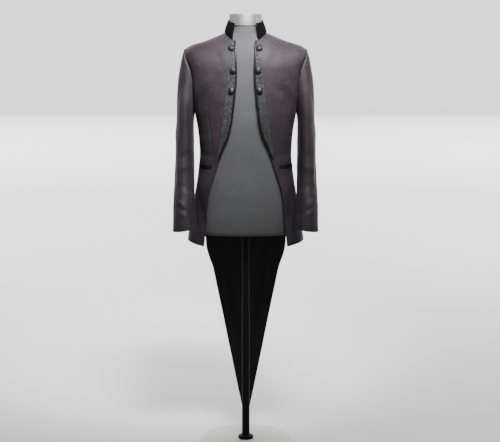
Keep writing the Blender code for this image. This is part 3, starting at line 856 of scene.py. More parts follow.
class Nodes:
    """A short way to add nodes to a material or a group and to join them."""

    def __init__(self, tree: bpy.types.NodeTree) -> None:
        """Keeps the tree that the nodes go into."""
        self.tree = tree

    def feed(self, socket: Socket, value: object) -> None:
        """Joins another node's output to a socket, or sets the socket to a plain value.

        Args:
            socket: The input.
            value: The output or the value.
        """
        if isinstance(value, Socket):
            self.tree.links.new(value, socket)
        else:
            socket.default_value = value

    def add(self, kind: str, inputs: dict | None = None, **settings: object) -> bpy.types.Node:
        """A node with its settings and inputs.

        Args:
            kind: The node's type, without its ShaderNode prefix.
            inputs: Values or other nodes' outputs, by the input's name or number.
            settings: The node's own properties.

        Returns:
            The new node.
        """
        node = self.tree.nodes.new(f"ShaderNode{kind}")
        for name, value in settings.items():
            setattr(node, name, value)
        for name, value in (inputs or {}).items():
            self.feed(node.inputs[name], value)
        return node

    def math(self, operation: str, *values: object) -> Socket:
        """The result of a Math node on numbers or outputs."""
        return self.add("Math", dict(enumerate(values)), operation=operation).outputs[0]

    def plus(self, first: object, second: object) -> Socket:
        """The sum of two values."""
        return self.math("ADD", first, second)

    def times(self, first: object, second: object) -> Socket:
        """The product of two values."""
        return self.math("MULTIPLY", first, second)

    def far(self, value: object, middle: object) -> Socket:
        """How far a value is from another, either way."""
        return self.math("ABSOLUTE", self.math("SUBTRACT", value, middle))

    def split(self, vector: Socket) -> bpy.types.bpy_prop_collection:
        """The three coordinates of a vector."""
        return self.add("SeparateXYZ", {0: vector}).outputs

    def noise(self, vector: Socket, scale: object, *, detail: float, rough: float) -> Socket:
        """The value of a noise at a scale."""
        inputs = {"Vector": vector, "Scale": scale, "Detail": detail, "Roughness": rough}
        return self.add("TexNoise", inputs).outputs["Fac"]

    def blend(self, share: object, low: object, high: object) -> Socket:
        """A colour between two, by a share."""
        return self.add("Mix", {0: share, 6: low, 7: high}, data_type="RGBA").outputs[2]

    def remap(self, value: object, low: float, high: float, to_low: float, to_high: float) -> Socket:
        """A value stretched from one range to another and held there."""
        inputs = dict(enumerate((value, low, high, to_low, to_high)))
        return self.add("MapRange", inputs).outputs[0]

    def effect(self, tree: bpy.types.NodeTree, **inputs: object) -> bpy.types.Node:
        """One use of a shared effect, with its own values."""
        return self.add("Group", inputs, node_tree=tree)


def effect_group(name: str, takes: dict[str, str], gives: dict[str, str]) -> tuple:
    """A new node group with its sockets.

    Args:
        name: The group's name.
        takes: The inputs' socket types by name.
        gives: The outputs' socket types by name.

    Returns:
        The group's Nodes, its input sockets by name, and those of its output node.
    """
    tree = bpy.data.node_groups.new(name, "ShaderNodeTree")
    for way, sockets in (("INPUT", takes), ("OUTPUT", gives)):
        for label, kind in sockets.items():
            tree.interface.new_socket(label, in_out=way, socket_type=f"NodeSocket{kind}")
    start = tree.nodes.new("NodeGroupInput")
    end = tree.nodes.new("NodeGroupOutput")
    return Nodes(tree), start.outputs, end.inputs


def make_weave_group() -> bpy.types.NodeTree:
    """Twill: fine diagonal ribs crossed by threads, from a map in metres.

    Returns:
        The group, which puts out a height.
    """
    takes = {"Vector": "Vector", "Threads": "Float"}
    nodes, start, end = effect_group("twill_weave", takes, {"Height": "Float"})
    x, y, _ = nodes.split(start["Vector"])
    across, along = nodes.times(x, start["Threads"]), nodes.times(y, start["Threads"])
    rib = nodes.math("SINE", nodes.times(nodes.plus(across, along), math.tau / 2))
    thread = nodes.math("SINE", nodes.times(across, math.tau))
    wander = nodes.noise(start["Vector"], 900.0, detail=2.0, rough=0.6)
    cloth = nodes.plus(nodes.times(rib, 0.35), nodes.times(thread, 0.15))
    nodes.feed(end["Height"], nodes.plus(cloth, wander))
    return nodes.tree


def make_tone_group() -> bpy.types.NodeTree:
    """Tone: broad and middling patches where a cloth or paint is a little lighter or darker.

    Returns:
        The group, which puts out a value from 0 to 1.
    """
    takes = {"Vector": "Vector", "Broad": "Float", "Middling": "Float"}
    nodes, start, end = effect_group("tone_drift", takes, {"Value": "Float"})
    broad = nodes.noise(start["Vector"], start["Broad"], detail=3.0, rough=0.55)
    middling = nodes.noise(start["Vector"], start["Middling"], detail=4.0, rough=0.6)
    total = nodes.plus(nodes.times(broad, 0.6), nodes.times(middling, 0.4))
    nodes.feed(end["Value"], nodes.remap(total, 0.30, 0.70, 0.0, 1.0))
    return nodes.tree


def make_stitch_group() -> bpy.types.NodeTree:
    """Stitches: short dashes in a shallow dimple, along a hem or edge at a set distance.

    Returns:
        The group, which puts out a mask and a height.
    """
    takes = {"Edge": "Vector", "Inset": "Float", "Pitch": "Float"}
    nodes, start, end = effect_group("edge_stitches", takes, {"Mask": "Float", "Height": "Float"})
    gap, run, _ = nodes.split(start["Edge"])
    off = nodes.far(gap, start["Inset"])
    line = nodes.remap(off, 0.0003, 0.0008, 1.0, 0.0)
    beat = nodes.math("FRACT", nodes.math("DIVIDE", run, start["Pitch"]))
    dash = nodes.remap(nodes.far(beat, 0.5), 0.28, 0.36, 1.0, 0.0)
    mask = nodes.times(line, dash)
    nodes.feed(end["Mask"], mask)
    nodes.feed(end["Height"], nodes.plus(nodes.remap(off, 0.0, 0.0030, -1.0, 0.0), mask))
    return nodes.tree


def make_wear_group() -> bpy.types.NodeTree:
    """Wear: lint and rubbed spots, stronger near the edges of a piece.

    Returns:
        The group, which puts out a mask.
    """
    takes = {"Vector": "Vector", "Edge": "Vector", "Reach": "Float"}
    nodes, start, end = effect_group("rubbed_edges", takes, {"Mask": "Float"})
    gap = nodes.split(start["Edge"])[0]
    near = nodes.math("SUBTRACT", 1.0, nodes.math("DIVIDE", gap, start["Reach"]))
    near = nodes.remap(near, 0.0, 1.0, 0.12, 1.0)
    specks = nodes.noise(start["Vector"], 420.0, detail=5.0, rough=0.75)
    specks = nodes.remap(specks, 0.52, 0.74, 0.0, 1.0)
    nodes.feed(end["Mask"], nodes.times(near, specks))
    return nodes.tree


@dataclass
class Effects:
    """The node groups that several finishes share."""

    weave: bpy.types.NodeTree = field(default_factory=make_weave_group)
    tone: bpy.types.NodeTree = field(default_factory=make_tone_group)
    stitch: bpy.types.NodeTree = field(default_factory=make_stitch_group)
    wear: bpy.types.NodeTree = field(default_factory=make_wear_group)


EFFECTS = Effects()


def rgba(colour: Rgb, gain: float = 1.0) -> tuple[float, float, float, float]:
    """The colour times a gain, with full alpha."""
    return (colour[0] * gain, colour[1] * gain, colour[2] * gain, 1.0)


class Shading(Nodes):
    """The nodes of a new material, which end in its Principled shader."""

    def __init__(self, name: str, settings: dict[str, object]) -> None:
        """Makes the material.

        Args:
            name: Its name.
            settings: The shader's constant values by socket.
        """
        self.material = bpy.data.materials.new(name)
        self.material.use_nodes = True
        super().__init__(self.material.node_tree)
        self.shader = self.tree.nodes["Principled BSDF"]
        for socket, value in settings.items():
            self.shader.inputs[socket].default_value = value

    def map(self, name: str) -> Socket:
        """One of the piece's own maps, in metres."""
        return self.add("UVMap", uv_map=name).outputs[0]

    def place(self) -> Socket:
        """The place on the piece, in metres."""
        return self.add("TexCoord").outputs["Object"]

    def tone(self, place: Socket, scales: tuple[float, float]) -> Socket:
        """The shared drift of tone, with its two scales."""
        return self.effect(EFFECTS.tone, Vector=place, Broad=scales[0], Middling=scales[1]).outputs[0]

    def finished(
        self, colour: Socket, roughness: Socket, height: Socket, depth: float, share: float
    ) -> bpy.types.Material:
        """Joins the material's parts to its shader.

        Args:
            colour: The colour's output.
            roughness: The roughness's output.
            height: The relief's output.
            depth: The relief's full depth in metres.
            share: The bump's strength.

        Returns:
            The material.
        """
        bump = self.add("Bump", {"Height": height, "Distance": depth, "Strength": share})
        self.feed(self.shader.inputs["Base Color"], colour)
        self.feed(self.shader.inputs["Roughness"], roughness)
        self.feed(self.shader.inputs["Normal"], bump.outputs[0])
        return self.material


@dataclass(frozen=True)
class ClothFinish:
    """A woven cloth: its colours, its threads, its stitches, the shade painted along its seams and how
    it shines.
    """

    name: str
    dark: Rgb
    light: Rgb
    roughness: float
    sheen: float
    sheen_tint: Rgb
    sheen_roughness: float = 0.35
    tone_scales: tuple[float, float] = (11.0, 85.0)
    smoother: float = 0.05
    rougher: float = 0.06
    threads: float = 2400.0
    relief_share: float = 0.8
    weave_depth: float = 0.00007
    gloss: float = 0.40
    crumple: float = 26.0
    crumple_scale: float = 24.0
    stitch_inset: float = 0.006
    stitch_pitch: float = 0.0032
    stitch_share: float = 0.8
    stitch_relief: float = 3.0
    stitch_tone: Rgb = (0.004, 0.004, 0.0045)
    rub_reach: float = 0.012
    rub_share: float = 0.30
    rub_gain: float = 1.7
    rub_roughness: float = 0.15
    # Painted shade along the seams: within these distances of a seam the colour darkens towards this
    # tone. It stands in for the shade in the seam's crevice.
    seam_shade_near: float = 0.0003
    seam_shade_far: float = 0.0014
    seam_shade_share: float = 0.9
    seam_shade_tone: Rgb = (0.0012, 0.0011, 0.0012)

    def material(self) -> bpy.types.Material:
        """Its colour, shine and relief, from the piece's own maps in metres.

        Returns:
            The material.
        """
        settings = {
            "Sheen Weight": self.sheen,
            "Sheen Roughness": self.sheen_roughness,
            "Sheen Tint": rgba(self.sheen_tint),
            "Specular IOR Level": self.gloss,
        }
        nodes = Shading(self.name, settings)
        edge, place = nodes.map("Edge"), nodes.place()
        weave = nodes.effect(EFFECTS.weave, Vector=nodes.map("Cloth"), Threads=self.threads)
        stitch = nodes.effect(
            EFFECTS.stitch, Edge=edge, Inset=self.stitch_inset, Pitch=self.stitch_pitch
        )
        wear = nodes.effect(EFFECTS.wear, Vector=place, Edge=edge, Reach=self.rub_reach).outputs[0]
        tone = nodes.tone(place, self.tone_scales)
        colour = nodes.blend(tone, rgba(self.dark), rgba(self.light))
        rubbed = rgba(self.light, self.rub_gain)
        colour = nodes.blend(nodes.times(wear, self.rub_share), colour, rubbed)
        stitched = nodes.times(stitch.outputs[0], self.stitch_share)
        colour = nodes.blend(stitched, colour, rgba(self.stitch_tone))
        # Painted shade: the colour darkens close to each seam, where shade falls into the seam's
        # crevice.
        seam = nodes.split(nodes.map("Seam"))[0]
        seam = nodes.remap(seam, self.seam_shade_near, self.seam_shade_far, self.seam_shade_share, 0.0)
        colour = nodes.blend(seam, colour, rgba(self.seam_shade_tone))
        low, high = self.roughness - self.smoother, self.roughness + self.rougher
        rough = nodes.remap(tone, 0.0, 1.0, low, high)
        rough = nodes.plus(rough, nodes.times(wear, self.rub_roughness))
        height = nodes.plus(weave.outputs[0], nodes.times(stitch.outputs[1], self.stitch_relief))
        crumple = nodes.noise(place, self.crumple_scale, detail=4.0, rough=0.55)
        crumple = nodes.times(crumple, self.crumple)
        height = nodes.plus(height, crumple)
        return nodes.finished(colour, rough, height, self.weave_depth, self.relief_share)


@dataclass(frozen=True)
class BrocadeFinish:
    """A brocade: small curling motifs woven light on dark, a generic all-over ground."""

    name: str = "grey_brocade"
    ground: Rgb = (0.005, 0.005, 0.006)
    motif: Rgb = (0.036, 0.036, 0.038)
    motif_scale: float = 95.0
    curl_turns: float = 17.0
    bud_scale: float = 0.9
    threads: float = 1100.0
    tone_scales: tuple[float, float] = (12.0, 60.0)
    relief: float = 0.0005
    relief_share: float = 0.7
    sheen: float = 0.02
    gloss: float = 0.14

    def material(self) -> bpy.types.Material:
        """Cells bent by a noise into curls, over a fine ribbed ground.

        Returns:
            The material.
        """
        nodes = Shading(self.name, {"Sheen Weight": self.sheen, "Specular IOR Level": self.gloss})
        cloth = nodes.map("Cloth")
        inputs = {"Vector": cloth, "Scale": self.motif_scale, "Detail": 0.6, "Distortion": 1.3}
        bent = nodes.add("TexNoise", inputs).outputs["Fac"]
        wave = nodes.math("ABSOLUTE", nodes.math("SINE", nodes.times(bent, self.curl_turns)))
        curls = nodes.remap(wave, 0.62, 0.84, 0.0, 1.0)
        inputs = {"Vector": cloth, "Scale": self.motif_scale * self.bud_scale, "Randomness": 0.85}
        buds = nodes.add("TexVoronoi", inputs).outputs["Distance"]
        leaf = nodes.math("MAXIMUM", curls, nodes.remap(buds, 0.17, 0.27, 1.0, 0.0))
        weave = nodes.effect(EFFECTS.weave, Vector=cloth, Threads=self.threads).outputs[0]
        tone = nodes.tone(nodes.place(), self.tone_scales)
        share = nodes.times(leaf, nodes.remap(weave, 0.2, 0.8, 0.55, 1.0))
        share = nodes.times(share, nodes.remap(tone, 0.0, 1.0, 0.7, 1.0))
        colour = nodes.blend(share, rgba(self.ground), rgba(self.motif))
        rough = nodes.remap(leaf, 0.0, 1.0, 0.72, 0.42)
        height = nodes.plus(leaf, nodes.times(weave, 0.35))
        return nodes.finished(colour, rough, height, self.relief, self.relief_share)


@dataclass(frozen=True)
class VelvetFinish:
    """A short pile that is black face on and catches light at its edges."""

    name: str = "black_velvet"
    pile: Rgb = (0.0010, 0.0010, 0.0011)
    tips: Rgb = (0.0034, 0.0032, 0.0037)
    sheen_tint: Rgb = (0.55, 0.53, 0.58)
    sheen: float = 0.015
    sheen_roughness: float = 0.25
    gloss: float = 0.02
    tuft_scale: float = 1600.0
    tone_scales: tuple[float, float] = (30.0, 140.0)
    relief: float = 0.0007
    relief_share: float = 0.7

    def material(self) -> bpy.types.Material:
        """Brushed patches of pile, with a grain of single tufts.

        Returns:
            The material.
        """
        settings = {
            "Sheen Weight": self.sheen,
            "Sheen Roughness": self.sheen_roughness,
            "Sheen Tint": rgba(self.sheen_tint),
            "Specular IOR Level": self.gloss,
        }
        nodes = Shading(self.name, settings)
        place = nodes.place()
        tone = nodes.tone(place, self.tone_scales)
        tufts = nodes.noise(place, self.tuft_scale, detail=3.0, rough=0.7)
        share = nodes.times(tone, nodes.remap(tufts, 0.3, 0.7, 0.3, 1.0))
        colour = nodes.blend(share, rgba(self.pile), rgba(self.tips))
        rough = nodes.remap(tufts, 0.2, 0.8, 0.78, 0.98)
        height = nodes.plus(tufts, tone)
        return nodes.finished(colour, rough, height, self.relief, self.relief_share)


@dataclass(frozen=True)
class HardFinish:
    """A hard surface, such as a button, a painted plate or a metal cap, with its own mottling."""

    name: str
    dark: Rgb
    light: Rgb
    roughness: float
    spread: float = 0.08
    metallic: float = 0.0
    broad: float = 9.0
    middling: float = 60.0
    relief: float = 0.0001
    grain: float = 900.0
    stretch: Rgb = (1.0, 1.0, 1.0)
    coat: float = 0.0
    coat_roughness: float = 0.12
    gloss: float = 0.5

    def material(self) -> bpy.types.Material:
        """Mottled tone and roughness, with a fine grain.

        Returns:
            The material.
        """
        settings = {
            "Metallic": self.metallic,
            "Specular IOR Level": self.gloss,
            "Coat Weight": self.coat,
            "Coat Roughness": self.coat_roughness,
        }
        nodes = Shading(self.name, settings)
        place = nodes.add("Mapping", {"Vector": nodes.place(), "Scale": self.stretch}).outputs[0]
        tone = nodes.tone(place, (self.broad, self.middling))
        grain = nodes.noise(place, self.grain, detail=3.0, rough=0.6)
        colour = nodes.blend(tone, rgba(self.dark), rgba(self.light))
        low, high = self.roughness - self.spread, self.roughness + self.spread
        relief = nodes.plus(grain, tone)
        rough = nodes.remap(nodes.times(relief, 0.5), 0.2, 0.8, low, high)
        return nodes.finished(colour, rough, relief, self.relief, 0.5)


@dataclass(frozen=True)
class JerseyFinish:
    """The knitted cover of the dress form, with fine upright wales and faint patches."""

    name: str = "form_jersey"
    dark: Rgb = (0.028, 0.028, 0.0295)
    light: Rgb = (0.044, 0.044, 0.0455)
    wales: float = 700.0
    courses_per_wale: float = 1.3
    tone_scales: tuple[float, float] = (5.0, 30.0)
    relief: float = 0.0001
    relief_share: float = 0.4
    sheen: float = 0.05
    sheen_roughness: float = 0.5
    gloss: float = 0.2

    def material(self) -> bpy.types.Material:
        """Knit loops from the cloth map, over a drift of tone.

        Returns:
            The material.
        """
        settings = {
            "Sheen Weight": self.sheen,
            "Sheen Roughness": self.sheen_roughness,
            "Specular IOR Level": self.gloss,
        }
        nodes = Shading(self.name, settings)
        x, y, _ = nodes.split(nodes.map("Cloth"))
        wale = nodes.math("SINE", nodes.times(x, self.wales * math.tau))
        course = nodes.math("SINE", nodes.times(y, self.wales * self.courses_per_wale * math.tau))
        loops = nodes.plus(nodes.math("ABSOLUTE", wale), nodes.times(course, 0.4))
        tone = nodes.tone(nodes.place(), self.tone_scales)
        colour = nodes.blend(tone, rgba(self.dark), rgba(self.light))
        shade = nodes.remap(loops, 0.0, 1.4, 0.95, 1.0)
        inputs = {0: 1.0, 6: colour, 7: shade}
        dimmed = nodes.add("Mix", inputs, data_type="RGBA", blend_type="MULTIPLY").outputs[2]
        rough = nodes.remap(tone, 0.0, 1.0, 0.75, 0.9)
        return nodes.finished(dimmed, rough, loops, self.relief, self.relief_share)


SATIN = ClothFinish(
    name="anthracite_satin",
    dark=(0.0072, 0.0053, 0.0070),
    light=(0.0200, 0.0153, 0.0190),
    roughness=0.57,
    gloss=0.14,
    sheen=0.03,
    sheen_tint=(0.62, 0.55, 0.60),
)
LINING = ClothFinish(
    name="black_lining",
    dark=(0.0022, 0.0021, 0.0024),
    light=(0.0040, 0.0038, 0.0043),
    roughness=0.46,
    gloss=0.12,
    sheen=0.0,
    sheen_tint=(0.5, 0.5, 0.5),
    threads=3000.0,
    weave_depth=0.00004,
    stitch_inset=0.012,
    stitch_tone=(0.010, 0.010, 0.011),
)
PIPING = ClothFinish(
    name="black_piping",
    dark=(0.0022, 0.0022, 0.0025),
    light=(0.0042, 0.0042, 0.0045),
    roughness=0.38,
    gloss=0.12,
    sheen=0.0,
    sheen_tint=(0.6, 0.6, 0.6),
    threads=2400.0,
    weave_depth=0.00006,
    stitch_inset=0.0012,
    stitch_tone=(0.008, 0.008, 0.009),
)
BROCADE = BrocadeFinish()
VELVET = VelvetFinish()
BUTTON = HardFinish(
    name="black_button",
    dark=(0.0022, 0.0022, 0.0025),
    light=(0.0060, 0.0060, 0.0066),
    roughness=0.30,
    spread=0.10,
    broad=120.0,
    middling=600.0,
    relief=0.00015,
    grain=2400.0,
    gloss=0.16,
    coat=0.05,
)
SILVER = HardFinish(
    name="neck_silver",
    dark=(0.080, 0.078, 0.074),
    light=(0.22, 0.214, 0.206),
    roughness=0.42,
    spread=0.14,
    metallic=0.55,
    broad=22.0,
    middling=70.0,
    relief=0.0004,
    grain=700.0,
    stretch=(1.0, 1.0, 0.35),
    gloss=0.35,
)
POLE_PAINT = HardFinish(
    "pole_black", (0.0020, 0.0020, 0.0022), (0.0040, 0.0040, 0.0043), 0.55, relief=0.00008, gloss=0.08
)
BASE_PAINT = HardFinish("base_white", (0.55, 0.545, 0.53), (0.66, 0.655, 0.64), 0.42, relief=0.00008)
JERSEY = JerseyFinish()
FLOOR = HardFinish("studio_floor", (0.80, 0.80, 0.80), (0.84, 0.84, 0.84), 0.7, broad=0.8, middling=4.0)


def arc_lengths(points: Array, axis: int) -> Array:
    """How far along its row or column each point of a grid lies, in metres.

    Args:
        points: The grid, by row and column.
        axis: 0 to measure up the columns and 1 along the rows.

    Returns:
        The distances.
    """
    steps = np.linalg.norm(np.diff(points, axis=axis), axis=-1)
    pad = [(0, 0), (0, 0)]
    pad[axis] = (1, 0)
    return np.pad(np.cumsum(steps, axis=axis), pad)


# The flip that turns a piece on the wearer's left into its match on the right.
MIRROR = np.array([-1.0, 1.0, 1.0])


@dataclass
class Borders:
    """What each border of a panel is: its seam valleys and its stitched edges, by border name."""

    seams: tuple[str, ...] = ()
    edges: tuple[str, ...] = ()
    valley: float = 0.0012
    reach: float = 0.0035
    steepness: float = 1.5

    def gaps(self, points: Array) -> dict[str, Array]:
        """How far every point lies from each of the four borders.

        Args:
            points: The panel's grid.

        Returns:
            The distances in metres, by border name.
        """
        across, along = arc_lengths(points, 1), arc_lengths(points, 0)
        return {
            "left": across,
            "right": across[:, -1:] - across,
            "bottom": along,
            "top": along[-1:] - along,
        }

    def fall(self, points: Array) -> Array:
        """How far the cloth turns in towards its seams.

        Args:
            points: The panel's grid.

        Returns:
            A height at each point, 0 or less.
        """
        gaps = self.gaps(points)
        total = np.zeros(points.shape[:2])
        for name in self.seams:
            total -= self.valley * np.exp(-((gaps[name] / self.reach) ** self.steepness))
        return total

    def border_map(self, points: Array, names: Sequence[str]) -> Array:
        """For each point, how far the nearest of some borders is, and how far along it.

        Args:
            points: The panel's grid.
            names: The borders that count.

        Returns:
            Both distances, side by side; the first is 1 m where there is no border.
        """
        gaps = self.gaps(points)
        best = np.full(points.shape[:2], 1.0)
        run = np.zeros(points.shape[:2])
        for name in names:
            along = gaps["bottom"] if name in ("left", "right") else gaps["left"]
            run = np.where(gaps[name] < best, along, run)
            best = np.minimum(best, gaps[name])
        return np.stack([best, run], axis=-1)


def grid_mesh(name: str, points: Array, borders: Borders, closed: bool = False) -> bpy.types.Mesh:
    """A mesh over a grid of points, with its maps in metres.

    Args:
        name: The mesh's name.
        points: The grid, by row and column.
        borders: What its borders are, for the maps of edges and seams.
        closed: True where the last column meets the first.

    Returns:
        The mesh.
    """
    rows, columns = points.shape[:2]
    bm = bmesh.new()
    bmesh.ops.create_grid(bm, x_segments=columns - 1, y_segments=rows - 1, size=1.0)
    cloth = bm.loops.layers.uv.new("Cloth")
    edge = bm.loops.layers.uv.new("Edge")
    seam = bm.loops.layers.uv.new("Seam")
    across, along = arc_lengths(points, 1), arc_lengths(points, 0)
    edges = borders.border_map(points, borders.edges)
    seams = borders.border_map(points, borders.seams)
    places = {}
    for vertex in bm.verts:
        i = round((vertex.co.x + 1) / 2 * (columns - 1))
        j = round((vertex.co.y + 1) / 2 * (rows - 1))
        places[vertex.index] = (j, i)
        vertex.co = points[j, i]
    for face in bm.faces:
        for loop in face.loops:
            spot = places[loop.vert.index]
            loop[cloth].uv = (across[spot], along[spot])
            loop[edge].uv = edges[spot]
            loop[seam].uv = seams[spot]
    if closed:
        bmesh.ops.remove_doubles(bm, verts=bm.verts, dist=WELD)
    bm.normal_update()
    mesh = bpy.data.meshes.new(name)
    bm.to_mesh(mesh)
    bm.free()
    mesh.shade_smooth()
    return mesh


def turn_faces(mesh: bpy.types.Mesh) -> None:
    """Turns every face the other way.

    Args:
        mesh: The mesh to turn.
    """
    bm = bmesh.new()
    bm.from_mesh(mesh)
    bmesh.ops.reverse_faces(bm, faces=bm.faces)
    bm.to_mesh(mesh)
    bm.free()


def set_out(name: str, data: bpy.types.ID) -> bpy.types.Object:
    """An object in the scene, at the origin.

    Args:
        name: Its name.
        data: Its mesh, light or camera.

    Returns:
        The object.
    """
    item = bpy.data.objects.new(name, data)
    bpy.context.scene.collection.objects.link(item)
    return item


def show(mesh: bpy.types.Mesh, materials: Sequence[bpy.types.Material]) -> bpy.types.Object:
    """An object for the mesh, riding on the root body.

    Args:
        mesh: The mesh.
        materials: Its materials, by slot.

    Returns:
        The object.
    """
    for material in materials:
        mesh.materials.append(material)
    item = set_out(mesh.name, mesh)
    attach(item, "root")
    LOG.info("%s: %d faces", item.name, len(mesh.polygons))
    return item


def stand_for(item: bpy.types.Object, node: str) -> None:
    """Hides the node of the solids that the finished piece replaces."""
    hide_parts(node)


@dataclass
class Wardrobe:
    """The materials that the pieces share, made once."""

    satin: bpy.types.Material = field(default_factory=SATIN.material)
    lining: bpy.types.Material = field(default_factory=LINING.material)
    piping: bpy.types.Material = field(default_factory=PIPING.material)
    brocade: bpy.types.Material = field(default_factory=BROCADE.material)
    velvet: bpy.types.Material = field(default_factory=VELVET.material)
    button: bpy.types.Material = field(default_factory=BUTTON.material)


@dataclass
class ClothPiece:
    """One cut piece of cloth on one side of the coat."""

    node: str
    points: Array
    outer: bpy.types.Material
    inner: bpy.types.Material
    borders: Borders = field(default_factory=Borders)
    creases: tuple[Crease, ...] = ()
    wall: float = 0.0020
    rim: float = 0.0005
    rim_steps: int = 2
    rim_degrees: float = 50.0
    rests_on: tuple[str, ...] = ("form_torso",)
    relief: Array | None = None
    ribbon: bool = False
    slackness: float = 0.0
    fold_gain: float = 1.35
    around_middle: bool = True

    def shaped(self) -> Array:
        """The grid with its folds, relief and seam valleys pressed in.

        Returns:
            The points of the piece's outer face, on the wearer's left.
        """
        normals = grid_normals(self.points)
        middle = self.points.reshape(-1, 3).mean(axis=0) * np.array([0.0, 0.0, 1.0])
        if self.around_middle and np.mean(np.sum(normals * (self.points - middle), -1)) < 0:
            normals = -normals
        height = crease_height(self.points, normals, self.creases) * self.fold_gain
        height = height + self.borders.fall(self.points)
        height = height + slack(self.points) * self.slackness
        if self.relief is not None:
            height = height + self.relief
        return self.points + normals * height[..., None]

    def build(self, side: Side | None) -> None:
        """Makes the piece.

        Args:
            side: The wearer's side, or None for a piece that crosses the middle.
        """
        cut = self.shaped()
        points = cut * MIRROR if side is Side.RIGHT else cut
        node = f"{self.node}_{side.word}" if side else self.node
        mesh = grid_mesh(f"{node}_cloth", points, self.borders)
        if self.faces_in(mesh, points):
            turn_faces(mesh)
        item = show(mesh, [self.outer, self.inner])
        wall = item.modifiers.new("wall", "SOLIDIFY")
        wall.thickness = self.wall
        wall.offset = -1.0
        wall.material_offset = 1
        rim = item.modifiers.new("rim", "BEVEL")
        rim.width = self.rim
        rim.segments = self.rim_steps
        rim.limit_method = "ANGLE"
        rim.angle_limit = math.radians(self.rim_degrees)
        stand_for(item, node)

    def faces_in(self, mesh: bpy.types.Mesh, points: Array) -> bool:
        """Whether the mesh's middle face looks towards the inside of the garment.

        Args:
            mesh: The piece's mesh.
            points: The grid it was made from.

        Returns:
            True where it does.
        """
        rows, columns = points.shape[:2]
        middle = Vector(points[rows // 2, columns // 2])
        face = min(mesh.polygons, key=lambda f: (f.center - middle).length)
        ends = Vector((points[rows // 2, 0] + points[rows // 2, -1]) / 2)
        away = middle - ends
        away.z = 0
        return face.normal.dot(away) < 0


